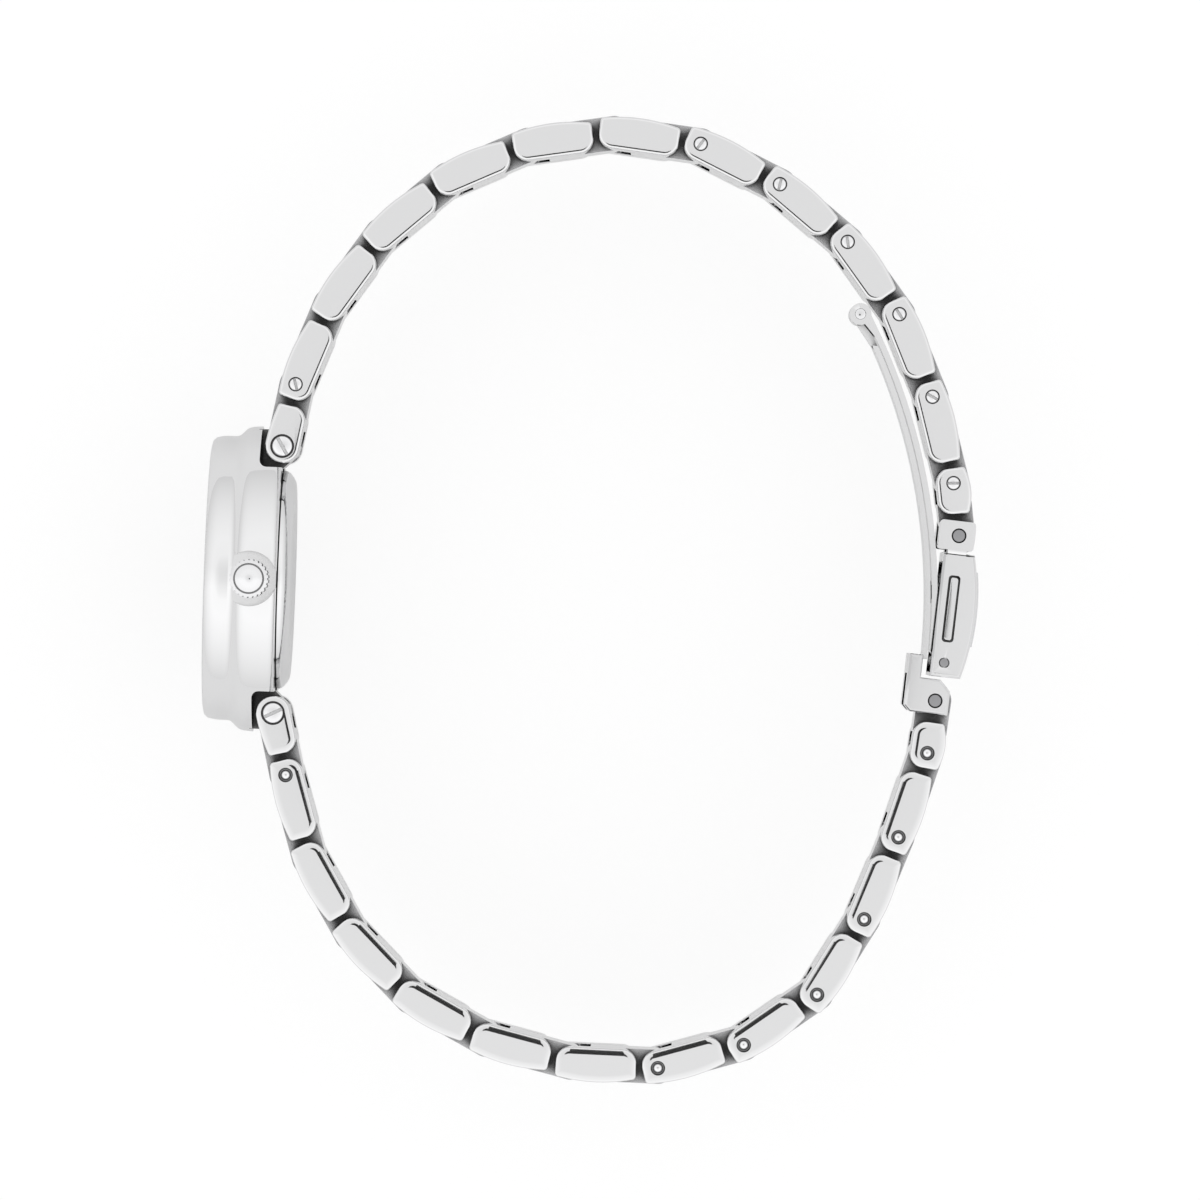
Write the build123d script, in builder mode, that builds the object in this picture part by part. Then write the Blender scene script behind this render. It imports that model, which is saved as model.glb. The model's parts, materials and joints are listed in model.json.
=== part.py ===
from build123d import *
import os
from math import cos, hypot, radians, sin

# A steel bracelet watch, lying on its side. The origin is the middle of the case back's outer face.
# The dial faces -X, twelve o'clock is +Y and the crown is +Z. All lengths are in millimetres.

# Bracelet links
link_pitch = 7.41
screw_link_pitch = 7.56
half_pitch = 4.5
end_pitch = 5.38
fixed_links = 6
screw_links = 5
link_width = 13.0
centre_width = 5.6
link_thickness = 2.9
centre_proud = 0.05
side_gap = 0.55
side_back = 1.3
dome_rise = 0.42
inner_corner = 1.2
outer_corner = 0.35
side_bevel = 0.22
row_clearance = 0.08
swing_clearance = 0.12

# Hinge screws of the bracelet
pin_radius = 0.42
pin_head_radius = 0.55
pin_head_length = 0.8
pin_inset = 0.12
pin_fit = 0.04
slot_width = 0.2
slot_depth = 0.25
slot_turn = 35.0
blind_depth = 2.2
end_screw_radius = 0.6
end_head_radius = 0.96
end_head_length = 0.9
recess_margin = 0.08

# Where the bracelet leaves the case, from the case back's middle
end_screw_back = 1.175
end_screw_inset = 1.767

# Links whose hinge pin is hidden in blind holes; the others have screws that show
hidden_pin_links = (2, 3, 4, 5, 6)

# Direction of each link from its case side pin, in degrees from +X
upper_headings = [79.8, 69.1, 55.8, 41.8, 25.2, 9.8, -6.1, -25.0, -38.4, -52.4, -66.2, -74.3, -82.0]
lower_headings = [-76.5, -72.9, -58.9, -44.4, -27.5, -13.1, -0.7, 17.1, 36.5, 60.0, 69.4, 73.1, 83.5]

# Case
case_radius = 13.12
case_wall = 3.42
case_front = 5.25
case_rear = 1.15
case_front_step = 0.92
case_rear_round = 0.25
step_depth = 0.95
works_ledge = 1.0
bore_step = 3.2
notch_margin = 0.17
notch_depth = 3.0
lug_corner = 0.6
dial_bore = case_radius - case_wall
works_bore = dial_bore - works_ledge
end_screw_side = case_radius - end_screw_inset

# Bezel and crystal
bezel_shoulder = 0.97
bezel_rim = 1.67
bezel_round = 0.7
bezel_round_cut = 0.2
bezel_crown = 0.08
bezel_lip = 7.3
ledge = 6.0
crystal_ledge = 0.6
crystal_dome = 0.25
gasket_wall = 0.24
seat_clearance = 0.04
bezel_radius = case_radius - bezel_shoulder
crystal_radius = bezel_radius - bezel_rim - gasket_wall - seat_clearance
bezel_floor = crystal_radius - crystal_ledge

# Dial, hands and the ring around the dial
dial_margin = 0.2
dial_front = 4.5
dial_thickness = 0.4
flange_width = 0.6
flange_wall = 0.3
marker_length = 1.5
marker_width = 0.34
marker_height = 0.14
marker_edge = 0.7
hour_hand_margin = 4.3
minute_hand_margin = 1.9
hand_width = 0.62
hand_thickness = 0.12
hand_tail = 1.3
hand_gap = 0.13
hour_hand_turn = 305.0
minute_hand_turn = 60.0
hour_pipe_radius = 0.72
hour_pipe_end = 3.57
minute_pipe_radius = 0.46
minute_pipe_end = 2.72
running_fit = 0.05
dial_radius = dial_bore - dial_margin
flange_inner = bezel_floor - flange_width
hour_hand_length = dial_radius - hour_hand_margin
minute_hand_length = dial_radius - minute_hand_margin

# Movement
holder_wall = 0.7
movement_back = 2.0
plate_thickness = 1.45
cell_radius = 3.4
cell_thickness = 1.05
cell_place = (3.1, -3.0)
coil_place = (-3.6, -2.8)
coil_length = 6.4
coil_radius = 0.55
works_clearance = 0.06
movement_radius = works_bore - holder_wall

# Case back
back_lap = 0.63
back_slope = 0.93
back_edge = 0.6
back_seat = 1.07
back_neck_fit = 0.15
back_neck_wall = 0.6
back_neck_length = 0.85
back_gasket_inset = 0.3
back_gasket_half = 0.17
back_gasket_depth = 0.32
back_radius = works_bore + back_lap
back_flat = back_radius - back_slope
back_neck_radius = works_bore - back_neck_fit
back_gasket_radius = works_bore + back_gasket_inset
notch_side = back_radius + notch_margin

# Crown and stem
crown_back = 3.4
crown_radius = 1.65
crown_length = 1.95
crown_sunk = 0.6
crown_cap_radius = 1.14
crown_cap_rise = 0.28
crown_edge = 0.25
flute_count = 24
flute_radius = 0.11
crown_socket = 0.95
recess_radius = 2.35
recess_depth = 0.9
tube_radius = 0.8
tube_wall = 0.32
tube_proud = 0.05
stem_radius = 0.42
stem_reach = 3.4
stem_groove_length = 0.4
stem_groove_depth = 0.15
stem_tip = 0.6
lever_width = 1.5
works_pocket_reach = 4.6
works_pocket_half = 1.7
crown_base = case_radius - crown_sunk
recess_floor = case_radius - recess_depth
tube_inner_end = dial_bore + tube_proud
tube_outer_end = case_radius + tube_proud
stem_inner_end = movement_radius - stem_reach
groove_start = stem_inner_end + stem_tip
works_pocket_start = movement_radius - works_pocket_reach

# Clasp cover, in its own frame: along from its bracelet pin, out from the wearer
cover_heading = -94.7
cover_start = 1.5
cover_end = 12.1
cover_inner = -1.1
cover_outer_start = 1.53
cover_outer_end = 1.5
cover_bulge = 0.68
cover_step = 0.2
cover_wall = 0.8
cover_skin = 0.6
cover_end_wall = 0.3
plaque_start = 2.9
plaque_end = 9.3
plaque_rise = 0.22
plaque_width = 6.4
fork_half = 1.25
fork_inner = -1.7
fork_outer = 1.4
fork_corner = 0.3
fork_dome = 0.08
fork_neck = 0.8
blade_pin_along = 10.87
blade_pin_out = 0.0
blade_pin_radius = 0.43
blade_knuckle = 0.82
cover_width = link_width - cover_step

# Push buttons and their springs
window_start = 3.4
window_end = 9.1
window_low = -0.45
window_high = 0.55
button_gap = 0.09
button_proud = 0.15
button_flange = 0.35
button_flange_thick = 0.5
window_corner = 0.3
spring_along = 8.0
spring_wall = 0.2
spring_radius = 0.5
spring_length = 2.6
rib_half = 0.3
rib_length = 1.3
rib_low = -0.5

# Blades of the clasp
blade_width = 6.0
middle_thickness = 0.5
inner_thickness = 0.44
blade_gap = 0.1
blade_start = (-16.4, -8.9)
blade_middle = (-2.0, -2.72)
blade_end = (9.9, -1.05)
barrel_centre = (-17.85, -10.45)
barrel_radius = 0.93
barrel_pin_radius = 0.45
barrel_inner_half = 1.1
barrel_gap = 0.1
post_start = 4.4
post_length = 1.2
post_width = 1.6
post_top = 0.2
post_clearance = 0.35
neck_overlap = 0.35
barrel_neck = 0.35
inner_lag = 1.1

# End block of the inner blade
block_pin = (14.17, -0.38)
block_top = 12.35
block_bottom = 15.3
block_low = -2.95
block_high = 0.8
block_corner = 0.9
block_toe = 0.5
block_relief = 0.45
block_thumb = 10.4

cut_overrun = 2.0

full_turn = 360.0
hours_on_dial = 12

# How far the end of a centre piece reaches from the hinge pin in it
tongue_reach = link_thickness / 2 + centre_proud

os.makedirs("parts", exist_ok=True)


def save(name, pieces):
    """Write one node: a single piece, or a group of separate pieces that belong together."""
    if len(pieces) == 1:
        pieces[0].part.label = name
        export_step(pieces[0].part, f"parts/{name}.step")
        return
    for piece in pieces:
        piece.part.label = name
    group = Compound(label=name, children=[piece.part for piece in pieces])
    export_step(group, f"parts/{name}.step")


def direction(heading):
    """Unit vector of a heading in degrees."""
    return cos(radians(heading)), sin(radians(heading))


def chain(start, headings, pitches):
    """Pins of a run of links, from its first pin to the pin past its last link."""
    points = [start]
    for heading, pitch in zip(headings, pitches):
        along = direction(heading)
        x, y = points[-1]
        points.append((x + pitch * along[0], y + pitch * along[1]))
    return points


def closed_headings(start, headings, pitches, target):
    """Headings turned and bent alike along the run until its last pin meets the target."""
    count = len(headings)
    bends = [2 * index / (count - 1) - 1 for index in range(count)]
    turn, bend = 0.0, 0.0
    probe_angle = 0.01

    def miss(a, b):
        trial = [h + a + b * s for h, s in zip(headings, bends)]
        end = chain(start, trial, pitches)[-1]
        return end[0] - target[0], end[1] - target[1]

    for step in range(count):
        here = miss(turn, bend)
        by_turn = miss(turn + probe_angle, bend)
        by_bend = miss(turn, bend + probe_angle)
        a = (by_turn[0] - here[0]) / probe_angle
        b = (by_bend[0] - here[0]) / probe_angle
        c = (by_turn[1] - here[1]) / probe_angle
        d = (by_bend[1] - here[1]) / probe_angle
        det = a * d - b * c
        turn -= (d * here[0] - b * here[1]) / det
        bend -= (a * here[1] - c * here[0]) / det
    return [h + turn + bend * s for h, s in zip(headings, bends)]


def flat_plane(point, heading, facing=1):
    """A plane square to the hinge pins, with its x along the heading and its y away from the wearer."""
    along = direction(heading)
    return Plane(origin=(point[0], point[1], 0), x_dir=(along[0], along[1], 0), z_dir=(0, 0, facing))


def in_frame(origin, heading, place):
    """A place given along and out of a frame, in the watch's own x and y."""
    along = direction(heading)
    x = origin[0] + place[0] * along[0] - place[1] * along[1]
    y = origin[1] + place[0] * along[1] + place[1] * along[0]
    return x, y


def bar_profile(plane, back, front, low, high, rise, inner_round, outer_round):
    """Side view of a link piece: flat inside, domed by a rise outside, with rounded corners."""
    shoulder = high - rise
    with BuildSketch(plane) as profile:
        with BuildLine():
            Polyline((-back, shoulder), (-back, low), (front, low), (front, shoulder))
            ThreePointArc((front, shoulder), ((front - back) / 2, high), (-back, shoulder))
        make_face()
        fillet(profile.vertices().group_by(Axis.Y)[0], inner_round)
        fillet(profile.vertices().group_by(Axis.Y)[-1], outer_round)
    return profile.sketch


def ear_profile(plane, front, half):
    """Side view of an end link's outer piece, with a full round about the screw to the case."""
    with BuildSketch(plane) as profile:
        with BuildLine():
            Polyline((0, half), (0, -half), (front, -half), (front, half - dome_rise))
            ThreePointArc((front, half - dome_rise), (front / 2, half - dome_rise / 4), (0, half))
        make_face()
        Circle(half)
        fillet(profile.vertices().group_by(Axis.X)[-1], outer_corner)
    return profile.sketch


def tongue_profile(plane, start, pin_along, low, high):
    """Side view of a centre piece, with a full round about the pin at its far end."""
    middle = (low + high) / 2
    with BuildSketch(plane) as profile:
        with BuildLine():
            Polyline((pin_along, low), (start, low), (start, high), (pin_along, high))
            ThreePointArc((pin_along, high), (pin_along + (high - low) / 2, middle), (pin_along, low))
        make_face()
    return profile.sketch


def cut_cylinder(plane, along, out, radius, low, high):
    """Cut a round hole square to the plane, between two heights over it."""
    with BuildSketch(plane.offset(low)) as hole:
        with Locations((along, out)):
            Circle(radius)
    extrude(hole.sketch, amount=high - low, mode=Mode.SUBTRACT)


def side_piece(plane, front, upper_side, is_end, pin_shown):
    """One outer piece of a link, with its bevelled face and its hole for the hinge pin."""
    shaft_radius = end_screw_radius + pin_fit if is_end else pin_radius + pin_fit
    head_radius = end_head_radius + recess_margin if is_end else pin_head_radius + recess_margin
    head_length = end_head_length if is_end else pin_head_length
    half = link_thickness / 2
    inner_wall = centre_width / 2
    depth = (link_width - centre_width) / 2
    start = inner_wall if upper_side else -link_width / 2
    with BuildPart() as piece:
        if is_end:
            outline = ear_profile(plane.offset(start), front, half)
        else:
            base = plane.offset(start)
            outline = bar_profile(base, side_back, front, -half, half, dome_rise, inner_corner, outer_corner)
        extrude(outline, amount=depth)
        face = faces().filter_by(Axis.Z).sort_by(lambda f: abs(f.center().Z))[-1]
        chamfer(face.outer_wire().edges(), side_bevel)
        reach = link_width if pin_shown else inner_wall + blind_depth
        cut_cylinder(plane, 0, 0, shaft_radius, -reach, reach)
        top = link_width / 2
        if pin_shown and upper_side:
            cut_cylinder(plane, 0, 0, head_radius, top - head_length - pin_inset, top + cut_overrun)
        if pin_shown and not upper_side:
            cut_cylinder(plane, 0, 0, head_radius, -top - cut_overrun, -top + head_length + pin_inset)
    return piece


def centre_piece(plane, pitch, own_front):
    """The centre piece of a link: wide between its own side pieces, narrower where it is the tongue."""
    low = -link_thickness / 2
    high = link_thickness / 2 + centre_proud
    start = tongue_reach + swing_clearance
    tongue_half = centre_width / 2 - row_clearance
    with BuildPart() as piece:
        extrude(tongue_profile(plane, start, pitch, low, high), amount=tongue_half, both=True)
        with BuildSketch(plane):
            with BuildLine():
                Polyline((start, low), (own_front, low), (own_front, high), (start, high), close=True)
            make_face()
        extrude(amount=centre_width / 2, both=True)
        cut_cylinder(plane, pitch, 0, pin_radius + pin_fit, -link_width, link_width)
    return piece


def hinge_screw(plane, shaft, head, head_length, half_length, slots):
    """A screw with a head sunk in each side; slots is a list of the sides that carry a slot."""
    top = half_length - pin_inset
    with BuildPart() as screw:
        with BuildSketch(plane):
            Circle(shaft)
        extrude(amount=top, both=True)
        for side in (1, -1):
            base = top - head_length if side > 0 else -top
            with BuildSketch(plane.offset(base)):
                Circle(head)
            extrude(amount=head_length)
        for side in slots:
            base = top - slot_depth if side > 0 else -top
            with BuildSketch(plane.offset(base)):
                Rectangle(2 * head + cut_overrun, slot_width, rotation=slot_turn)
            extrude(amount=slot_depth, mode=Mode.SUBTRACT)
    return screw


def hidden_pin(plane):
    """The plain hinge pin of a link that isn't made to be taken out."""
    with BuildPart() as pin:
        with BuildSketch(plane):
            Circle(pin_radius)
        extrude(amount=centre_width / 2 + blind_depth - pin_inset, both=True)
    return pin


def make_link(name, point, heading, facing, pitch, is_end, pin_shown):
    """One link: two side pieces, a centre piece and the screw or pin at its case side end."""
    plane = flat_plane(point, heading, facing)
    front = pitch - side_back - side_gap
    if is_end:
        pin = hinge_screw(plane, end_screw_radius, end_head_radius, end_head_length, link_width / 2, (1, -1))
    elif pin_shown:
        pin = hinge_screw(plane, pin_radius, pin_head_radius, pin_head_length, link_width / 2, (1,))
    else:
        pin = hidden_pin(plane)
    pieces = [
        side_piece(plane, front, True, is_end, pin_shown),
        side_piece(plane, front, False, is_end, pin_shown),
        centre_piece(plane, pitch, front),
        pin,
    ]
    save(name, pieces)


def dome_at_half(radius, rise):
    """Height of a spherical dome at half its radius."""
    ball = (radius ** 2 + rise ** 2) / (2 * rise)
    return rise - ball + (ball ** 2 - radius ** 2 / 4) ** 0.5


def revolved(points):
    """A turned piece about the dial's axis, from points given as (x, radius)."""
    with BuildPart() as piece:
        with BuildSketch(Plane.XY):
            with BuildLine():
                Polyline(*points, close=True)
            make_face()
        revolve(axis=Axis.X)
    return piece


def make_mid_case():
    """The middle of the case: a ring with a notch and a lug for each end link, and the crown's recess."""
    lug_half = centre_width / 2 - row_clearance
    with BuildPart() as case:
        with BuildSketch(Plane.XY):
            with BuildLine():
                Polyline(
                    (-case_front, dial_bore),
                    (-case_front, case_radius - case_front_step),
                    (-case_front + step_depth, case_radius),
                    (-case_rear - case_rear_round, case_radius),
                    (-case_rear, case_radius - case_rear_round),
                    (-case_rear, works_bore),
                    (-bore_step, works_bore),
                    (-bore_step, dial_bore),
                    close=True,
                )
            make_face()
        revolve(axis=Axis.X)
        for side in (1, -1):
            with BuildSketch(Plane.XY):
                with BuildLine():
                    Polyline(
                        (-notch_depth, side * notch_side),
                        (cut_overrun, side * notch_side),
                        (cut_overrun, side * (case_radius + cut_overrun)),
                        (-notch_depth, side * (case_radius + cut_overrun)),
                        close=True,
                    )
                make_face()
                fillet(vertices().group_by(Axis.X)[0].sort_by(Axis.Y)[0 if side > 0 else -1], lug_corner)
            extrude(amount=case_radius + cut_overrun, both=True, mode=Mode.SUBTRACT)
            with BuildSketch(Plane.XY):
                with Locations((-end_screw_back, side * end_screw_side)):
                    Circle(link_thickness / 2)
                with BuildLine():
                    Polyline(
                        (-notch_depth - case_rear_round, side * (works_bore + seat_clearance)),
                        (-case_rear, side * (works_bore + seat_clearance)),
                        (-case_rear, side * (back_radius + swing_clearance)),
                        (-end_screw_back + link_thickness / 2, side * end_screw_side),
                        (-end_screw_back, side * (end_screw_side + link_thickness / 2)),
                        (-notch_depth - case_rear_round, side * (end_screw_side + link_thickness / 2)),
                        close=True,
                    )
                make_face()
            extrude(amount=lug_half, both=True)
            screw_plane = flat_plane((-end_screw_back, side * end_screw_side), 0)
            cut_cylinder(screw_plane, 0, 0, end_screw_radius + pin_fit, -link_width, link_width)
        crown_plane = flat_plane((-crown_back, 0), 0)
        cut_cylinder(crown_plane, 0, 0, recess_radius, recess_floor, case_radius + cut_overrun)
        cut_cylinder(crown_plane, 0, 0, tube_radius + works_clearance / 2, 0, case_radius)
        with BuildSketch(Plane.XY):
            with BuildLine():
                Polyline(
                    (-case_rear - back_gasket_depth, back_gasket_radius - back_gasket_half),
                    (cut_overrun, back_gasket_radius - back_gasket_half),
                    (cut_overrun, back_gasket_radius + back_gasket_half),
                    (-case_rear - back_gasket_depth, back_gasket_radius + back_gasket_half),
                    close=True,
                )
            make_face()
        revolve(axis=Axis.X, mode=Mode.SUBTRACT)
    save("mid_case", [case])


def make_bezel_and_crystal():
    """The bezel, the domed crystal in it and the gasket ring between them."""
    seat = crystal_radius + gasket_wall + seat_clearance
    bezel = revolved([
        (-ledge, bezel_floor),
        (-ledge, seat),
        (-bezel_lip, seat),
        (-bezel_lip, bezel_radius - bezel_round),
        (-bezel_lip + bezel_round_cut, bezel_radius - bezel_round_cut),
        (-bezel_lip + bezel_round, bezel_radius),
        (-case_front, bezel_radius),
        (-case_front, bezel_floor),
    ])
    save("bezel", [bezel])
    with BuildPart() as crystal:
        with BuildSketch(Plane.XY):
            with BuildLine():
                Polyline(
                    (-bezel_lip - crystal_dome, 0),
                    (-ledge - seat_clearance, 0),
                    (-ledge - seat_clearance, crystal_radius),
                    (-bezel_lip, crystal_radius),
                )
                rim = (-bezel_lip, crystal_radius)
                middle = (-bezel_lip - dome_at_half(crystal_radius, crystal_dome), crystal_radius / 2)
                ThreePointArc(rim, middle, (-bezel_lip - crystal_dome, 0))
            make_face()
        revolve(axis=Axis.X)
    save("crystal", [crystal])
    gasket = revolved([
        (-ledge, crystal_radius),
        (-bezel_lip + bezel_crown, crystal_radius),
        (-bezel_lip + bezel_crown, crystal_radius + gasket_wall),
        (-ledge, crystal_radius + gasket_wall),
    ])
    save("crystal_gasket", [gasket])


def make_dial():
    """The dial, its applied hour markers and the ring between dial and crystal."""
    flange = revolved([
        (-dial_front - seat_clearance, flange_inner),
        (-dial_front - seat_clearance, bezel_floor - seat_clearance),
        (-ledge + seat_clearance, bezel_floor - seat_clearance),
        (-ledge + seat_clearance, bezel_floor - flange_wall),
    ])
    save("flange_ring", [flange])
    with BuildPart() as dial:
        with BuildSketch(Plane.YZ.offset(-dial_front)):
            Circle(dial_radius)
            Circle(hour_pipe_radius + running_fit, mode=Mode.SUBTRACT)
        extrude(amount=dial_thickness)
    save("dial", [dial])
    markers = []
    for hour in range(hours_on_dial):
        with BuildPart() as marker:
            turn = hour * full_turn / hours_on_dial
            radius = flange_inner - marker_edge - marker_length / 2
            with BuildSketch(Plane.YZ.offset(-dial_front - marker_height)):
                with Locations(Location((0, 0), turn)):
                    with Locations((radius, 0)):
                        Rectangle(marker_length, marker_width)
            extrude(amount=marker_height)
        markers.append(marker)
    save("hour_markers", markers)


def make_hand(name, front, length, turn, pipe_radius, bore_radius, pipe_end):
    """One hand with its pipe; front is how far the hand's face stands towards the crystal."""
    with BuildPart() as hand:
        with BuildSketch(Plane.YZ.offset(-front)):
            with Locations(Location((0, 0), turn)):
                with BuildLine():
                    Polyline(
                        (-hand_tail, -hand_width / 2),
                        (length / 2, -hand_width / 2),
                        (length, 0),
                        (length / 2, hand_width / 2),
                        (-hand_tail, hand_width / 2),
                        close=True,
                    )
                make_face()
            Circle(pipe_radius)
        extrude(amount=hand_thickness)
        with BuildSketch(Plane.YZ.offset(-front)):
            Circle(pipe_radius)
        extrude(amount=front - pipe_end)
        if bore_radius:
            with BuildSketch(Plane.YZ.offset(-front - cut_overrun)):
                Circle(bore_radius)
            extrude(amount=front + cut_overrun, mode=Mode.SUBTRACT)
    save(name, [hand])


def make_hands():
    """The hour hand runs around the minute hand's arbor; they stand at about ten past ten."""
    hour_front = dial_front + marker_height + hand_gap + hand_thickness
    minute_front = hour_front + hand_gap + hand_thickness
    bore = minute_pipe_radius + running_fit
    make_hand(
        "hour_hand", hour_front, hour_hand_length, hour_hand_turn,
        hour_pipe_radius, bore, hour_pipe_end,
    )
    make_hand(
        "minute_hand", minute_front, minute_hand_length, minute_hand_turn,
        minute_pipe_radius, 0, minute_pipe_end,
    )


def make_movement():
    """The quartz movement: main plate, bridge, cell and motor coil, in a holder ring."""
    plate_front = dial_front - dial_thickness - works_clearance
    plate_back = plate_front - plate_thickness
    with BuildPart() as plate:
        with BuildSketch(Plane.YZ.offset(-plate_front)):
            Circle(movement_radius)
        extrude(amount=plate_thickness)
        with BuildSketch(Plane.YZ.offset(-plate_front - cut_overrun)):
            Circle(hour_pipe_radius + running_fit)
        extrude(amount=plate_thickness + 2 * cut_overrun, mode=Mode.SUBTRACT)
        with BuildSketch(Plane.XY.offset(works_pocket_start)):
            with Locations((-crown_back, 0)):
                Rectangle(2 * (stem_radius + works_clearance), 2 * works_pocket_half)
        extrude(amount=works_pocket_reach + cut_overrun, mode=Mode.SUBTRACT)
    save("main_plate", [plate])
    with BuildPart() as bridge:
        with BuildSketch(Plane.YZ.offset(-plate_back + works_clearance / 2)):
            Circle(movement_radius)
            with Locations(cell_place):
                Circle(cell_radius + works_clearance, mode=Mode.SUBTRACT)
            with Locations(coil_place):
                room = 2 * works_clearance
                SlotOverall(coil_length + room, 2 * coil_radius + room, mode=Mode.SUBTRACT)
        extrude(amount=plate_back - movement_back - works_clearance)
    save("train_bridge", [bridge])
    with BuildPart() as cell:
        with BuildSketch(Plane.YZ.offset(-plate_back + works_clearance / 2)):
            with Locations(cell_place):
                Circle(cell_radius)
        extrude(amount=cell_thickness)
    save("button_cell", [cell])
    with BuildPart() as coil:
        with BuildSketch(Plane.YZ.offset(-plate_back + works_clearance / 2)):
            with Locations(coil_place):
                SlotOverall(coil_length, 2 * coil_radius)
        extrude(amount=coil_radius)
    save("motor_coil", [coil])
    with BuildPart() as holder:
        with BuildSketch(Plane.XY):
            with BuildLine():
                outer = works_bore - works_clearance
                flange = dial_bore - works_clearance
                Polyline(
                    (-plate_front, movement_radius + works_clearance),
                    (-plate_front, flange),
                    (-bore_step - works_clearance, flange),
                    (-bore_step - works_clearance, outer),
                    (-movement_back, outer),
                    (-movement_back, movement_radius + works_clearance),
                    close=True,
                )
            make_face()
        revolve(axis=Axis.X)
        crown_plane = flat_plane((-crown_back, 0), 0)
        cut_cylinder(crown_plane, 0, 0, tube_radius + works_clearance, 0, case_radius)
    save("movement_holder", [holder])


def make_case_back():
    """The case back with its sloping edge and locating neck, and its gasket."""
    back = revolved([
        (0, 0),
        (0, back_flat),
        (-back_edge, back_radius),
        (-back_seat, back_radius),
        (-back_seat, back_neck_radius),
        (-back_seat - back_neck_length, back_neck_radius),
        (-back_seat - back_neck_length, back_neck_radius - back_neck_wall),
        (-back_seat, back_neck_radius - back_neck_wall),
        (-back_seat, 0),
    ])
    save("case_back", [back])
    gasket = revolved([
        (-case_rear - back_gasket_depth, back_gasket_radius - back_gasket_half + seat_clearance),
        (-case_rear - back_gasket_depth, back_gasket_radius + back_gasket_half - seat_clearance),
        (-back_seat, back_gasket_radius + back_gasket_half - seat_clearance),
        (-back_seat, back_gasket_radius - back_gasket_half + seat_clearance),
    ])
    save("case_back_gasket", [gasket])


def make_crown():
    """The fluted crown, its stem, the tube in the case and the lever that rides in the stem's groove."""
    crown_plane = flat_plane((-crown_back, 0), 0)
    crown_axis = Axis((-crown_back, 0, 0), (0, 0, 1))
    section = Plane(origin=(-crown_back, 0, 0), x_dir=(1, 0, 0), z_dir=(0, -1, 0))
    top = crown_base + crown_length
    socket_top = crown_base + crown_socket
    with BuildPart() as crown:
        with BuildSketch(section):
            with BuildLine():
                Polyline(
                    (0, socket_top),
                    (tube_radius + works_clearance, socket_top),
                    (tube_radius + works_clearance, crown_base),
                    (crown_radius - crown_edge, crown_base),
                    (crown_radius, crown_base + crown_edge),
                    (crown_radius, top - crown_edge),
                    (crown_cap_radius, top),
                )
                shoulder = (crown_cap_radius, top)
                middle = (crown_cap_radius / 2, top + dome_at_half(crown_cap_radius, crown_cap_rise))
                ThreePointArc(shoulder, middle, (0, top + crown_cap_rise))
                Line((0, top + crown_cap_rise), (0, socket_top))
            make_face()
        revolve(axis=crown_axis)
        with BuildSketch(crown_plane.offset(crown_base - cut_overrun)):
            with PolarLocations(crown_radius, flute_count):
                Circle(flute_radius)
        extrude(amount=crown_length + 2 * cut_overrun, mode=Mode.SUBTRACT)
    save("crown", [crown])
    with BuildPart() as stem:
        with BuildSketch(crown_plane.offset(stem_inner_end)):
            Circle(stem_radius)
        extrude(amount=socket_top - stem_inner_end)
        with BuildSketch(crown_plane.offset(groove_start)):
            Circle(stem_radius + cut_overrun)
            Circle(stem_radius - stem_groove_depth, mode=Mode.SUBTRACT)
        extrude(amount=stem_groove_length, mode=Mode.SUBTRACT)
    save("winding_stem", [stem])
    with BuildPart() as tube:
        with BuildSketch(crown_plane.offset(tube_inner_end)):
            Circle(tube_radius)
            Circle(tube_radius - tube_wall, mode=Mode.SUBTRACT)
        extrude(amount=tube_outer_end - tube_inner_end)
    save("crown_tube", [tube])
    lever_half = stem_groove_length / 2 - running_fit
    with BuildPart() as lever:
        with BuildSketch(crown_plane.offset(groove_start + stem_groove_length / 2)):
            with Locations((0, lever_width / 4)):
                Rectangle(2 * stem_radius, lever_width)
            slot = 2 * (stem_radius - stem_groove_depth + running_fit)
            with Locations((0, -lever_width / 2)):
                Rectangle(slot, lever_width, mode=Mode.SUBTRACT)
            Circle(slot / 2, mode=Mode.SUBTRACT)
        extrude(amount=lever_half, both=True)
    save("setting_lever", [lever])


def circle_through(a, b, c):
    """Centre and radius of the circle through three places."""
    d = 2 * (a[0] * (b[1] - c[1]) + b[0] * (c[1] - a[1]) + c[0] * (a[1] - b[1]))
    sa, sb, sc = a[0] ** 2 + a[1] ** 2, b[0] ** 2 + b[1] ** 2, c[0] ** 2 + c[1] ** 2
    x = (sa * (b[1] - c[1]) + sb * (c[1] - a[1]) + sc * (a[1] - b[1])) / d
    y = (sa * (c[0] - b[0]) + sb * (a[0] - c[0]) + sc * (b[0] - a[0])) / d
    return x, y, hypot(a[0] - x, a[1] - y)


def on_circle(circle, along, extra=0.0):
    """The place on a circle's outer side, extra further out, at a distance along."""
    x, y, radius = circle
    return along, y + ((radius + extra) ** 2 - (along - x) ** 2) ** 0.5


def arc_band(plane, circle, start, end, inner, outer):
    """A band along a circle between two distances along, from inner to outer beyond its radius."""
    middle = (start + end) / 2
    with BuildSketch(plane) as band:
        with BuildLine():
            ThreePointArc(*[on_circle(circle, s, outer) for s in (start, middle, end)])
            Line(on_circle(circle, end, outer), on_circle(circle, end, inner))
            ThreePointArc(*[on_circle(circle, s, inner) for s in (end, middle, start)])
            Line(on_circle(circle, start, inner), on_circle(circle, start, outer))
        make_face()
    return band.sketch


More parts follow.
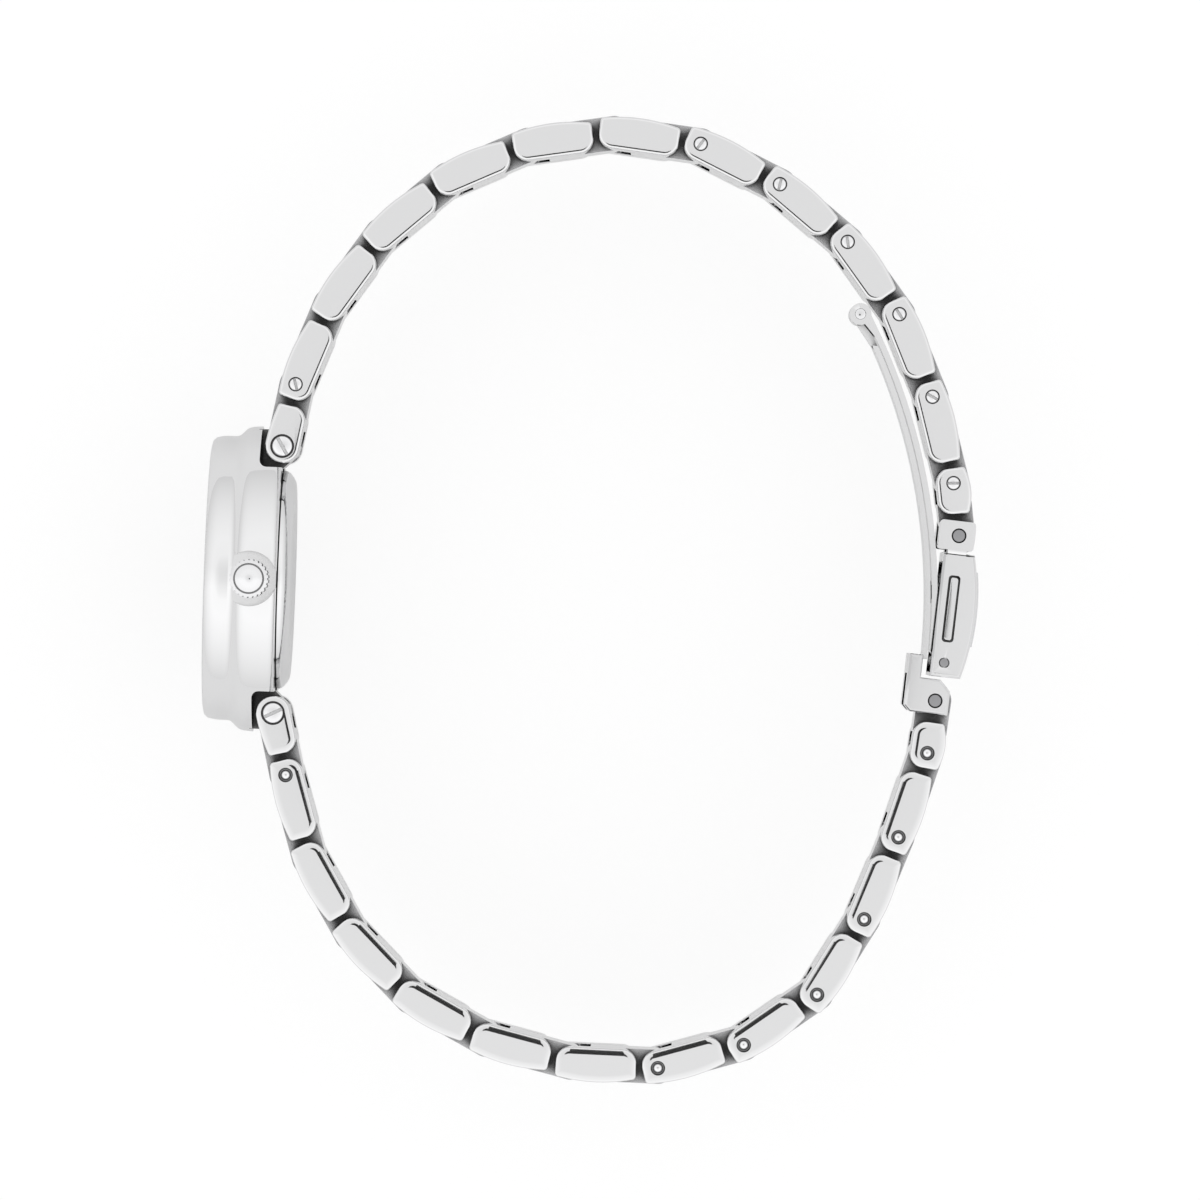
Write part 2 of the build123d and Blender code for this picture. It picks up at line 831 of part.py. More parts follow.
def make_cover(plane):
    """The clasp's cover: a curved shell with windows for the buttons, and a fork for the bracelet."""
    half = cover_width / 2
    middle = (cover_start + cover_end) / 2
    first = (cover_start, cover_outer_start)
    last = (cover_end, cover_outer_end)
    outer = circle_through(first, (middle, (cover_outer_start + cover_outer_end) / 2 + cover_bulge), last)
    with BuildPart() as cover:
        with BuildSketch(plane):
            with BuildLine():
                Polyline(first, (cover_start, cover_inner), (cover_end, cover_inner), last)
                ThreePointArc(last, on_circle(outer, middle), first)
            make_face()
        extrude(amount=half, both=True)
        rims = faces().filter_by(Axis.Z).edges()
        chamfer(rims, side_bevel)
        with BuildSketch(plane):
            start, end = cover_start + cover_wall, cover_end - cover_end_wall
            with BuildLine():
                Polyline(
                    on_circle(outer, start, -cover_skin),
                    (start, cover_inner - cut_overrun),
                    (end, cover_inner - cut_overrun),
                    on_circle(outer, end, -cover_skin),
                )
                ThreePointArc(*[on_circle(outer, s, -cover_skin) for s in (end, middle, start)])
            make_face()
        extrude(amount=half - cover_wall, both=True, mode=Mode.SUBTRACT)
        plaque = arc_band(plane, outer, plaque_start, plaque_end, -cover_skin / 2, plaque_rise)
        extrude(plaque, amount=plaque_width / 2, both=True)
        with BuildSketch(plane):
            arc_low = on_circle(outer, spring_along, -cover_skin / 2)[1]
            with Locations((spring_along, (arc_low + rib_low) / 2)):
                Rectangle(rib_length, arc_low - rib_low)
        extrude(amount=rib_half, both=True)
        cut_cylinder(plane, 0, 0, tongue_reach + swing_clearance, -centre_width / 2, centre_width / 2)
        for side in (1, -1):
            base = centre_width / 2 if side > 0 else -half
            ear = bar_profile(
                plane.offset(base), fork_half, fork_half, fork_inner, fork_outer, fork_dome,
                fork_corner, fork_corner,
            )
            extrude(ear, amount=half - centre_width / 2)
            with BuildSketch(plane.offset(base)):
                with Locations(((fork_half + cover_start) / 2, 0)):
                    Rectangle(2 * fork_corner + cover_start - fork_half, 2 * fork_neck)
            extrude(amount=half - centre_width / 2)
            top = cover_width / 2
            low, high = (top - pin_head_length - pin_inset, top + cut_overrun)
            if side < 0:
                low, high = -high, -low
            cut_cylinder(plane, 0, 0, pin_head_radius + recess_margin, low, high)
            wall_low = half - cover_wall - cut_overrun if side > 0 else -half - cut_overrun
            with BuildSketch(plane.offset(wall_low)):
                with Locations(((window_start + window_end) / 2, (window_low + window_high) / 2)):
                    Rectangle(window_end - window_start, window_high - window_low)
                    fillet(vertices(), window_corner)
            extrude(amount=cover_wall + 2 * cut_overrun, mode=Mode.SUBTRACT)
        cut_cylinder(plane, 0, 0, pin_radius + pin_fit, -cover_width, cover_width)
        bore = blade_pin_radius + pin_fit / 2
        cut_cylinder(plane, blade_pin_along, blade_pin_out, bore, -cover_width, cover_width)
    save("clasp_cover", [cover])
    save("cover_screw", [hinge_screw(plane, pin_radius, pin_head_radius, pin_head_length, half, (1,))])
    with BuildPart() as blade_pin:
        with BuildSketch(plane):
            with Locations((blade_pin_along, blade_pin_out)):
                Circle(blade_pin_radius)
        extrude(amount=half - pin_inset / 2, both=True)
    save("blade_pin", [blade_pin])


def make_buttons(plane):
    """The two push buttons in the cover's side walls, and the spring behind each."""
    wall_inside = cover_width / 2 - cover_wall
    centre = ((window_start + window_end) / 2, (window_low + window_high) / 2)
    length = window_end - window_start - 2 * button_gap
    height = window_high - window_low - 2 * button_gap
    for side, word in ((1, "near"), (-1, "far")):
        with BuildPart() as button:
            low = wall_inside - button_gap
            outside = cover_width / 2 + button_proud
            with BuildSketch(plane.offset(low if side > 0 else -outside)):
                with Locations(centre):
                    Rectangle(length, height)
                    fillet(vertices(), window_corner - button_gap)
            extrude(amount=outside - low)
            inside = low - button_flange_thick
            with BuildSketch(plane.offset(inside if side > 0 else -low)):
                with Locations(centre):
                    Rectangle(length + 2 * button_flange, height + 2 * button_flange)
            extrude(amount=button_flange_thick)
            boss_end = rib_half + spring_length
            with BuildSketch(plane.offset(boss_end if side > 0 else -inside)):
                with Locations((spring_along, centre[1])):
                    Circle(spring_radius)
            extrude(amount=inside - boss_end)
        save(f"push_button_{word}", [button])
        with BuildPart() as spring:
            with BuildSketch(plane.offset(rib_half if side > 0 else -rib_half - spring_length)):
                with Locations((spring_along, centre[1])):
                    Circle(spring_radius)
                    Circle(spring_radius - spring_wall, mode=Mode.SUBTRACT)
            extrude(amount=spring_length)
        save(f"button_spring_{word}", [spring])


def make_blades(plane):
    """The middle blade, the inner blade that folds over it, and the barrel pin between them."""
    arc = circle_through(blade_start, blade_middle, blade_end)
    half = blade_width / 2
    middle_half = middle_thickness / 2
    inner_outer = -middle_half - blade_gap
    inner_inner = inner_outer - inner_thickness
    knuckle_start = barrel_inner_half + barrel_gap
    cavity_half = cover_width / 2 - cover_wall - barrel_gap
    with BuildPart() as middle_blade:
        band = arc_band(plane, arc, blade_start[0], blade_end[0], -middle_half, middle_half)
        extrude(band, amount=half, both=True)
        with BuildSketch(plane):
            with BuildLine():
                Polyline(
                    on_circle(arc, blade_end[0] - blade_knuckle, middle_half),
                    (blade_pin_along, blade_pin_out + blade_knuckle / 2),
                    (blade_pin_along + blade_knuckle / 2, blade_pin_out),
                    on_circle(arc, blade_end[0], -middle_half),
                    close=True,
                )
            make_face()
        extrude(amount=half, both=True)
        with BuildSketch(plane):
            with Locations((blade_pin_along, blade_pin_out)):
                Circle(blade_knuckle)
        extrude(amount=cavity_half, both=True)
        for side in (1, -1):
            base = knuckle_start if side > 0 else -half
            with BuildSketch(plane.offset(base)):
                with Locations(barrel_centre):
                    Circle(barrel_radius)
                with BuildLine():
                    Polyline(
                        (barrel_centre[0], barrel_centre[1] + barrel_radius),
                        on_circle(arc, blade_start[0] + neck_overlap, middle_half),
                        on_circle(arc, blade_start[0] + neck_overlap, -middle_half),
                        (barrel_centre[0], barrel_centre[1] - barrel_neck),
                        close=True,
                    )
                make_face()
            extrude(amount=half - knuckle_start)
        with BuildSketch(plane):
            with Locations((post_start + post_length / 2, blade_middle[1])):
                Rectangle(post_length + 2 * post_clearance, cover_width)
        extrude(amount=post_width / 2 + post_clearance, both=True, mode=Mode.SUBTRACT)
        bore = blade_pin_radius + pin_fit
        cut_cylinder(plane, blade_pin_along, blade_pin_out, bore, -cover_width, cover_width)
        cut_cylinder(plane, *barrel_centre, barrel_pin_radius + pin_fit / 2, -cover_width, cover_width)
    save("middle_blade", [middle_blade])

    inner_start = blade_start[0] + inner_lag
    with BuildPart() as inner_blade:
        blade = arc_band(plane, arc, inner_start, block_thumb + neck_overlap, inner_inner, inner_outer)
        extrude(blade, amount=half, both=True)
        with BuildSketch(plane):
            with Locations(barrel_centre):
                Circle(barrel_radius)
            with BuildLine():
                Polyline(
                    (barrel_centre[0], barrel_centre[1] + barrel_neck),
                    on_circle(arc, inner_start + neck_overlap, inner_outer),
                    on_circle(arc, inner_start + neck_overlap, inner_inner),
                    (barrel_centre[0], barrel_centre[1] - barrel_radius),
                    close=True,
                )
            make_face()
        extrude(amount=barrel_inner_half, both=True)
        with BuildSketch(plane):
            low = on_circle(arc, post_start, inner_outer)[1] - inner_thickness / 2
            with Locations((post_start + post_length / 2, (low + post_top) / 2)):
                Rectangle(post_length, post_top - low)
        extrude(amount=post_width / 2, both=True)
        cut_cylinder(plane, *barrel_centre, barrel_pin_radius + pin_fit, -cover_width, cover_width)
    with BuildPart() as block:
        ear_half = cover_width / 2
        with BuildSketch(plane):
            shelf = on_circle(arc, block_thumb, inner_inner)[1]
            with BuildLine():
                Polyline(
                    (block_thumb, block_low),
                    (block_thumb, shelf),
                    (block_top, shelf),
                    (block_top, blade_pin_out - pin_inset),
                    (block_top + block_corner, block_high),
                    (block_bottom, block_high),
                    (block_bottom, block_low + block_toe),
                    (block_bottom - block_toe, block_low),
                    close=True,
                )
            make_face()
        extrude(amount=ear_half, both=True)
        chamfer(faces().filter_by(Axis.Z).edges(), side_bevel)
        with BuildSketch(plane):
            slot_start = block_pin[0] - tongue_reach - swing_clearance
            slot_end = block_bottom + cut_overrun
            with BuildLine():
                Polyline(
                    (slot_start, block_high + cut_overrun),
                    (slot_start, block_pin[1] - tongue_reach / 2),
                    (slot_start - block_relief, block_low),
                    (slot_start - block_relief, block_low - cut_overrun),
                    (slot_end, block_low - cut_overrun),
                    (slot_end, block_high + cut_overrun),
                    close=True,
                )
            make_face()
        extrude(amount=centre_width / 2, both=True, mode=Mode.SUBTRACT)
        for side in (1, -1):
            low = ear_half - pin_head_length - pin_inset if side > 0 else -ear_half - cut_overrun
            high = ear_half + cut_overrun if side > 0 else -ear_half + pin_head_length + pin_inset
            cut_cylinder(plane, *block_pin, pin_head_radius + recess_margin, low, high)
        cut_cylinder(plane, *block_pin, pin_radius + pin_fit, -cover_width, cover_width)
    save("inner_blade", [inner_blade, block])
    screws = []
    for side in (1, -1):
        with BuildPart() as screw:
            tip = centre_width / 2 + row_clearance
            head = ear_half - pin_inset - pin_head_length
            with BuildSketch(plane.offset(tip if side > 0 else -head)):
                with Locations(block_pin):
                    Circle(pin_radius)
            extrude(amount=head - tip)
            with BuildSketch(plane.offset(head if side > 0 else -ear_half + pin_inset)):
                with Locations(block_pin):
                    Circle(pin_head_radius)
            extrude(amount=pin_head_length)
        screws.append(screw)
    save("block_screws", screws)
    with BuildPart() as barrel_pin:
        with BuildSketch(plane):
            with Locations(barrel_centre):
                Circle(barrel_pin_radius)
        extrude(amount=half + barrel_gap, both=True)
    save("barrel_pin", [barrel_pin])


pitches = [end_pitch] + [link_pitch] * fixed_links + [screw_link_pitch] * screw_links + [half_pitch]
link_count = fixed_links + screw_links
names = ["end_link"] + [f"link_{number:02d}" for number in range(1, link_count + 1)] + ["half_link"]
upper_start = (-end_screw_back, end_screw_side)
lower_start = (-end_screw_back, -end_screw_side)
upper_pins = chain(upper_start, upper_headings, pitches)
cover_pin = upper_pins[-1]
lower_target = in_frame(cover_pin, cover_heading, block_pin)
lower_angles = closed_headings(lower_start, lower_headings, pitches, lower_target)
lower_pins = chain(lower_start, lower_angles, pitches)

make_mid_case()
make_bezel_and_crystal()
make_dial()
make_hands()
make_movement()
make_case_back()
make_crown()
for word, pins, headings, facing in (
    ("upper", upper_pins, upper_headings, 1),
    ("lower", lower_pins, lower_angles, -1),
):
    for index, name in enumerate(names):
        shown = index not in hidden_pin_links
        make_link(f"{word}_{name}", pins[index], headings[index], facing, pitches[index], index == 0, shown)
clasp_plane = flat_plane(cover_pin, cover_heading)
make_cover(clasp_plane)
make_buttons(clasp_plane)
make_blades(clasp_plane)
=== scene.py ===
"""Dresses a small steel bracelet watch that lies on its side.

The dial faces -X, twelve o'clock is +Y and the crown points up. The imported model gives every
place: hinges come from its joints and sizes from its nodes. Lengths in the classes are in
millimetres, as on a bench drawing, and turn to metres when a mesh is finished.
"""
import json
import logging
import math
from dataclasses import dataclass
from enum import Enum

import bmesh
import bpy
from mathutils import Matrix, Vector


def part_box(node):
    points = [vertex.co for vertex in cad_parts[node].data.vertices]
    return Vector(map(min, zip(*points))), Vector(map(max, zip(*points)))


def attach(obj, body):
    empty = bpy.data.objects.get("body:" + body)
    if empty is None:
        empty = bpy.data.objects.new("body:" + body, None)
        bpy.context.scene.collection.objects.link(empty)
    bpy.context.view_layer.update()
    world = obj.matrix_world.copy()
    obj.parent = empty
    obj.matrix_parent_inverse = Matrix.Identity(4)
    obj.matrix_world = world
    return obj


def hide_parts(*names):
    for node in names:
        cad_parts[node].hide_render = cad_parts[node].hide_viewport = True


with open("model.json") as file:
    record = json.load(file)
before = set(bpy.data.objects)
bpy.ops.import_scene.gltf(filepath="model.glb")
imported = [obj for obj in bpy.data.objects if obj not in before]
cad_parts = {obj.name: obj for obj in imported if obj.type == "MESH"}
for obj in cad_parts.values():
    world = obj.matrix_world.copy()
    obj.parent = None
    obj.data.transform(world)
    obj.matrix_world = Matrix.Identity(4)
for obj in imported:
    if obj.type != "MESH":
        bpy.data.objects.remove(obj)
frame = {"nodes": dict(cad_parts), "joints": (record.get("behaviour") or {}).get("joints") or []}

MM = 0.001
FULL_TURN = 2.0 * math.pi
# GAP_REACH, GAP_SHUT and GAP_OPEN set the painted shade in gaps: how far the occlusion test reaches, where
# the shade is full and where it ends.
GAP_REACH = 1.6
GAP_SHUT = 0.12
GAP_OPEN = 0.6
BUMP_DEPTH = 0.00002
ROUND_CUTS = 3
FLAT_FACE = 0.9
MERGE = 0.0005
MATCH = 1e-4
PIN_FACETS = 40
BORE_FACETS = 48
log = logging.getLogger("watch")


class Side(Enum):
    """Which face of the bracelet a piece looks to, as the watch lies."""

    NEAR = 1
    FAR = -1


class Half(Enum):
    """The two halves of the bracelet, named after the side of the dial they leave."""

    UPPER = "upper"
    LOWER = "lower"


class Edge(Enum):
    """How the rim of a link's side face was polished, as steps of (inwards, up) in millimetres."""

    CRISP = ((0.02, 0.08), (0.08, 0.08), (0.07, 0.03), (0.03, 0.003), (0.15, 0.0072))
    SOFT = ((0.02, 0.08), (0.05, 0.05), (0.04, 0.015), (0.03, 0.005), (0.30, 0.0160), (0.16, 0.0045))


# Finishes


class Shader:
    """A material under construction, with short calls for its nodes and links."""

    def __init__(self, name: str) -> None:
        """Starts a material.

        Args:
            name: Name of the material.
        """
        self.material = bpy.data.materials.new(name)
        self.material.use_nodes = True
        self.tree = self.material.node_tree
        self.principled = self.tree.nodes["Principled BSDF"]

    def node(self, kind: str, **values: object) -> bpy.types.Node:
        """Adds a node and sets its inputs.

        Args:
            kind: The node's type, such as ShaderNodeTexNoise.
            **values: Input names in lower case, with underscores for blanks.

        Returns:
            The node.
        """
        made = self.tree.nodes.new(kind)
        for key, value in values.items():
            made.inputs[key.replace("_", " ").title()].default_value = value
        return made

    def link(self, source: bpy.types.NodeSocket, target: bpy.types.NodeSocket) -> None:
        """Joins two sockets."""
        self.tree.links.new(source, target)

    def polish(
        self, marks_and_shade: bpy.types.NodeTree, scale: float, roughness: float, spread: float, relief: float
    ) -> bpy.types.Node:
        """Adds the shared polish marks to the surface.

        Args:
            marks_and_shade: The shared group of polish marks and painted gap shade.
            scale: How fine the marks are.
            roughness: Their middle gloss.
            spread: How far the gloss drifts.
            relief: How strongly they show as relief.

        Returns:
            The group's node.
        """
        group = self.tree.nodes.new("ShaderNodeGroup")
        group.node_tree = marks_and_shade
        for name, value in (("Scale", scale), ("Roughness", roughness), ("Spread", spread)):
            group.inputs[name].default_value = value
        bump = self.node("ShaderNodeBump", strength=relief, distance=BUMP_DEPTH)
        self.link(group.outputs["Height"], bump.inputs["Height"])
        self.link(group.outputs["Roughness"], self.principled.inputs["Roughness"])
        self.link(bump.outputs["Normal"], self.principled.inputs["Normal"])
        return group


def polish_and_shade_group() -> bpy.types.NodeTree:
    """Builds the shared polish marks: wandering scratches, a slow drift of gloss, and painted shade in deep
    gaps.

    Returns:
        A group with inputs Scale, Roughness, Spread, Shut and Free, and outputs Roughness, Height
        and Open. Open is 1 on free surfaces and falls to 0 deep in a gap, between Free and Shut, and
        sets how far a metal is darkened there by painted shade.
    """
    tree = bpy.data.node_groups.new("polish_marks_and_gap_shade", "ShaderNodeTree")
    for name, low in (
        ("Scale", 100.0), ("Roughness", 0.06), ("Spread", 0.03), ("Shut", GAP_SHUT), ("Free", GAP_OPEN),
    ):
        socket = tree.interface.new_socket(name=name, in_out="INPUT", socket_type="NodeSocketFloat")
        socket.default_value = low
    for name in ("Roughness", "Height", "Open"):
        tree.interface.new_socket(name=name, in_out="OUTPUT", socket_type="NodeSocketFloat")
    into = tree.nodes.new("NodeGroupInput")
    out = tree.nodes.new("NodeGroupOutput")
    place = tree.nodes.new("ShaderNodeTexCoord")
    clouds = tree.nodes.new("ShaderNodeTexNoise")
    clouds.inputs["Detail"].default_value = 3.0
    scratches = tree.nodes.new("ShaderNodeTexNoise")
    scratches.inputs["Detail"].default_value = 6.0
    scratches.inputs["Distortion"].default_value = 1.5
    finer = tree.nodes.new("ShaderNodeMath")
    finer.operation = "MULTIPLY"
    finer.inputs[1].default_value = 14.0
    centred = tree.nodes.new("ShaderNodeMath")
    centred.operation = "SUBTRACT"
    centred.inputs[1].default_value = 0.5
    spread = tree.nodes.new("ShaderNodeMath")
    spread.operation = "MULTIPLY_ADD"
    # Ambient occlusion finds how closely other surfaces crowd a point; it drives the painted shade in gaps.
    gap_shade_occlusion = tree.nodes.new("ShaderNodeAmbientOcclusion")
    gap_shade_occlusion.samples = 12
    gap_shade_occlusion.inputs["Distance"].default_value = GAP_REACH * MM
    depth = tree.nodes.new("ShaderNodeMapRange")
    links = (
        (place.outputs["Object"], clouds.inputs["Vector"]),
        (place.outputs["Object"], scratches.inputs["Vector"]),
        (into.outputs["Scale"], clouds.inputs["Scale"]),
        (into.outputs["Scale"], finer.inputs[0]),
        (finer.outputs[0], scratches.inputs["Scale"]),
        (clouds.outputs[0], centred.inputs[0]),
        (centred.outputs[0], spread.inputs[0]),
        (into.outputs["Spread"], spread.inputs[1]),
        (into.outputs["Roughness"], spread.inputs[2]),
        (spread.outputs[0], out.inputs["Roughness"]),
        (scratches.outputs[0], out.inputs["Height"]),
        (gap_shade_occlusion.outputs["AO"], depth.inputs["Value"]),
        (into.outputs["Shut"], depth.inputs["From Min"]),
        (into.outputs["Free"], depth.inputs["From Max"]),
        (depth.outputs["Result"], out.inputs["Open"]),
    )
    for source, target in links:
        tree.links.new(source, target)
    return tree


@dataclass(frozen=True)
class Metal:
    """A metal finish: its colour, gloss, how strong its polish marks are, and its painted shade in gaps."""

    name: str
    slot: str
    colour: tuple[float, float, float]
    roughness: float
    spread: float = 0.02
    scale: float = 400.0
    relief: float = 0.003
    gap_shade_colour: tuple[float, float, float] = (0.03, 0.03, 0.03)
    gap_shut: float = GAP_SHUT
    gap_open: float = GAP_OPEN

    def make(self, marks_and_shade: bpy.types.NodeTree) -> bpy.types.Material:
        """Builds the material.

        Args:
            marks_and_shade: The shared group of polish marks and painted gap shade.

        Returns:
            The material.
        """
        shader = Shader(self.name)
        group = shader.polish(marks_and_shade, self.scale, self.roughness, self.spread, self.relief)
        group.inputs["Shut"].default_value = self.gap_shut
        group.inputs["Free"].default_value = self.gap_open
        # Painted shade: the base colour falls from the metal's colour to the dark gap colour deep in gaps.
        tone = shader.tree.nodes.new("ShaderNodeMix")
        tone.data_type = "RGBA"
        tone.inputs["A"].default_value = (*self.gap_shade_colour, 1.0)
        tone.inputs["B"].default_value = (*self.colour, 1.0)
        shader.link(group.outputs["Open"], tone.inputs["Factor"])
        shader.link(tone.outputs["Result"], shader.principled.inputs["Base Color"])
        shader.principled.inputs["Metallic"].default_value = 1.0
        return shader.material


@dataclass(frozen=True)
class Plain:
    """A finish that isn't metal, such as lacquer, rubber or moulded plastic."""

    name: str
    slot: str
    colour: tuple[float, float, float]
    roughness: float
    scale: float = 900.0
    relief: float = 0.05

    def make(self, marks_and_shade: bpy.types.NodeTree) -> bpy.types.Material:
        """Builds the material.

        Args:
            marks_and_shade: The shared group of polish marks and painted gap shade; only its marks are used
                here.

        Returns:
            The material.
        """
        shader = Shader(self.name)
        shader.polish(marks_and_shade, self.scale, self.roughness, self.roughness / 5.0, self.relief)
        shader.principled.inputs["Base Color"].default_value = (*self.colour, 1.0)
        return shader.material


@dataclass(frozen=True)
class Glass:
    """The crystal's clear finish."""

    name: str
    slot: str
    ior: float = 1.6

    def make(self, marks_and_shade: bpy.types.NodeTree) -> bpy.types.Material:
        """Builds the material.

        Args:
            marks_and_shade: The shared group of polish marks and painted gap shade, which clear glass leaves
                unused.

        Returns:
            The material.
        """
        shader = Shader(self.name)
        shader.principled.inputs["Base Color"].default_value = (1.0, 1.0, 1.0, 1.0)
        shader.principled.inputs["Roughness"].default_value = 0.0
        shader.principled.inputs["IOR"].default_value = self.ior
        shader.principled.inputs["Transmission Weight"].default_value = 1.0
        return shader.material


# Every metal darkens towards its gap colour deep in gaps, as painted shade; gap_shut sets where that shade is
# full and gap_open where it ends.
STEEL = Metal("polished_steel", "polished_steel", (0.85, 0.85, 0.855), 0.04, spread=0.01)
CASE = Metal("case_steel", "polished_steel", (0.85, 0.85, 0.855), 0.04, spread=0.01, gap_open=0.3)
SCREW = Metal(
    "screw_steel", "polished_steel", (0.85, 0.85, 0.86), 0.08, spread=0.03, relief=0.01, gap_open=0.4,
)
# Painted shade: the centre pieces' flanks, down in the gaps beside the side pieces, are darker than the steel
# and darken further in deep gaps.
FLANK_SHADE = Metal(
    "flank_painted_shade", "polished_steel", (0.72, 0.72, 0.73), 0.16, spread=0.1, scale=900.0, relief=0.2,
    gap_shut=0.42, gap_open=0.78,
)
# Painted shade: the case's lugs, shadowed between the sides of the end links, are darker than the steel.
LUG_SHADE = Metal(
    "lug_painted_shade", "polished_steel", (0.6, 0.6, 0.6), 0.12, spread=0.05, gap_shut=0.38, gap_open=0.85,
)
# Painted shade: the centre pieces darken only to mid grey in deep gaps.
CENTRE = Metal(
    "centre_steel", "polished_steel", (0.85, 0.85, 0.86), 0.04, spread=0.01, gap_shade_colour=(0.4, 0.4, 0.4),
    gap_open=0.3,
)
CROWN = Metal("crown_steel", "polished_steel", (0.85, 0.85, 0.86), 0.04, spread=0.01, gap_open=0.9)
PIN_END = Metal(
    "pin_end_steel", "polished_steel", (0.34, 0.34, 0.35), 0.34, spread=0.1, scale=700.0, relief=0.6,
)
SPRING = Metal("spring_steel", "spring_steel", (0.60, 0.60, 0.61), 0.25, spread=0.08)
BRASS = Metal("brass_works", "brass_works", (0.80, 0.64, 0.34), 0.22, spread=0.06)
COPPER = Metal("coil_copper", "coil_copper", (0.72, 0.34, 0.18), 0.3, spread=0.08)
DIAL = Plain("white_dial", "white_dial", (0.86, 0.86, 0.84), 0.32)
HOLDER = Plain("white_holder", "white_holder", (0.80, 0.80, 0.78), 0.45)
GASKET = Plain("black_gasket", "black_gasket", (0.02, 0.02, 0.02), 0.6)
CRYSTAL = Glass("crystal_glass", "crystal_glass")
Finish = Metal | Plain | Glass


class Palette:
    """Builds each finish once, the first time a piece asks for it."""

    def __init__(self) -> None:
        """Starts with the shared group of polish marks and painted gap shade only."""
        self.marks_and_shade = polish_and_shade_group()
        self.made: dict[str, bpy.types.Material] = {}

    def get(self, finish: Finish) -> bpy.types.Material:
        """The material of a finish."""
        if finish.name not in self.made:
            self.made[finish.name] = finish.make(self.marks_and_shade)
        return self.made[finish.name]


# Bench and shaping


class Bench:
    """Finishes pieces: puts each mesh in its place, shades it and hands it to its body."""

    smooth_angle = math.radians(32.0)
    sharp_angle = math.radians(25.0)
    flat_angle = math.radians(1.0)

    def __init__(self, palette: Palette) -> None:
        """Keeps the palette.

        Args:
            palette: Gives the materials.
        """
        self.palette = palette

    def piece(
        self,
        name: str,
        mesh: bmesh.types.BMesh,
        body: str,
        finish: Finish,
        replaces: tuple[str, ...] = (),
        place: Matrix | None = None,
        flip: bool = False,
        accent: Finish | None = None,
    ) -> bpy.types.Object:
        """Turns a finished bmesh into a piece of the watch.

        Args:
            name: Name of the piece.
            mesh: Its shape, in millimetres. It is freed.
            body: The body it rides on.
            finish: Its finish.
            replaces: The nodes it stands for.
            place: Where it goes, from its own millimetres to the watch's.
            flip: True if its faces may have been turned inside out.
            accent: The finish of its faces that were given material index 1, a darker finish painted as
                shade.

        Returns:
            The object.
        """
        if place is not None:
            bmesh.ops.transform(mesh, matrix=place, verts=mesh.verts)
        bmesh.ops.remove_doubles(mesh, verts=mesh.verts, dist=MERGE)
        if flip:
            bmesh.ops.recalc_face_normals(mesh, faces=mesh.faces)
        bmesh.ops.scale(mesh, vec=(MM, MM, MM), verts=mesh.verts)
        data = bpy.data.meshes.new(name)
        mesh.to_mesh(data)
        mesh.free()
        data.materials.append(self.palette.get(finish))
        if accent is not None:
            data.materials.append(self.palette.get(accent))
        data.shade_smooth()
        data.set_sharp_from_angle(angle=self.smooth_angle)
        made = bpy.data.objects.new(name, data)
        bpy.context.scene.collection.objects.link(made)
        weighted = made.modifiers.new("even_shading", "WEIGHTED_NORMAL")
        weighted.keep_sharp = True
        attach(made, body)
        if replaces:
            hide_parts(*replaces)
        log.info("%s: %d faces on %s", name, len(data.polygons), body)
        return made

    def softened(self, node: str, width: float) -> bmesh.types.BMesh:
        """Copies a node's shape and rounds its edges.

        Args:
            node: The node.
            width: Width of the rounding, in millimetres.

        Returns:
            The shape, in millimetres.
        """
        mesh = bmesh.new()
        mesh.from_mesh(frame["nodes"][node].data)
        bmesh.ops.scale(mesh, vec=(1.0 / MM,) * 3, verts=mesh.verts)
        bmesh.ops.remove_doubles(mesh, verts=mesh.verts, dist=0.001)
        bmesh.ops.dissolve_limit(
            mesh, angle_limit=self.flat_angle, verts=mesh.verts, edges=mesh.edges, delimit=set()
        )
        sharp = [
            edge for edge in mesh.edges
            if len(edge.link_faces) == 2 and edge.calc_face_angle(0.0) > self.sharp_angle
        ]
        bmesh.ops.bevel(
            mesh, geom=sharp, offset=width, offset_type="OFFSET", segments=ROUND_CUTS, profile=0.5,
            affect="EDGES", clamp_overlap=True, loop_slide=False, material=-1,
        )
        return mesh

    def dress_node(self, node: str, finish: Finish) -> None:
        """Gives a node that stays as it is its finish.

        Args:
            node: The node.
            finish: Its finish.
        """
        data = frame["nodes"][node].data
        data.materials.clear()
        data.materials.append(self.palette.get(finish))
        log.info("%s keeps its own shape", node)


def carve(mesh: bmesh.types.BMesh, cutters: list[bmesh.types.BMesh]) -> bmesh.types.BMesh:
    """Cuts shapes out of a shape.

    Args:
        mesh: The shape. It is freed.
        cutters: The shapes to take away. They are freed.

    Returns:
        What is left.
    """
    block = to_scratch(mesh)
    tools = [to_scratch(cutter) for cutter in cutters]
    for tool in tools:
        cut = block.modifiers.new("cut", "BOOLEAN")
        cut.operation = "DIFFERENCE"
        cut.solver = "EXACT"
        cut.object = tool
    bpy.context.view_layer.update()
    result = bmesh.new()
    result.from_object(block, bpy.context.evaluated_depsgraph_get())
    for item in (block, *tools):
        data = item.data
        bpy.data.objects.remove(item)
        bpy.data.meshes.remove(data)
    return result


def to_scratch(mesh: bmesh.types.BMesh) -> bpy.types.Object:
    """A throw-away object with a bmesh's shape.

    Args:
        mesh: The shape. It is freed.

    Returns:
        The object.
    """
    data = bpy.data.meshes.new("scratch")
    mesh.to_mesh(data)
    mesh.free()
    made = bpy.data.objects.new("scratch", data)
    bpy.context.scene.collection.objects.link(made)
    return made


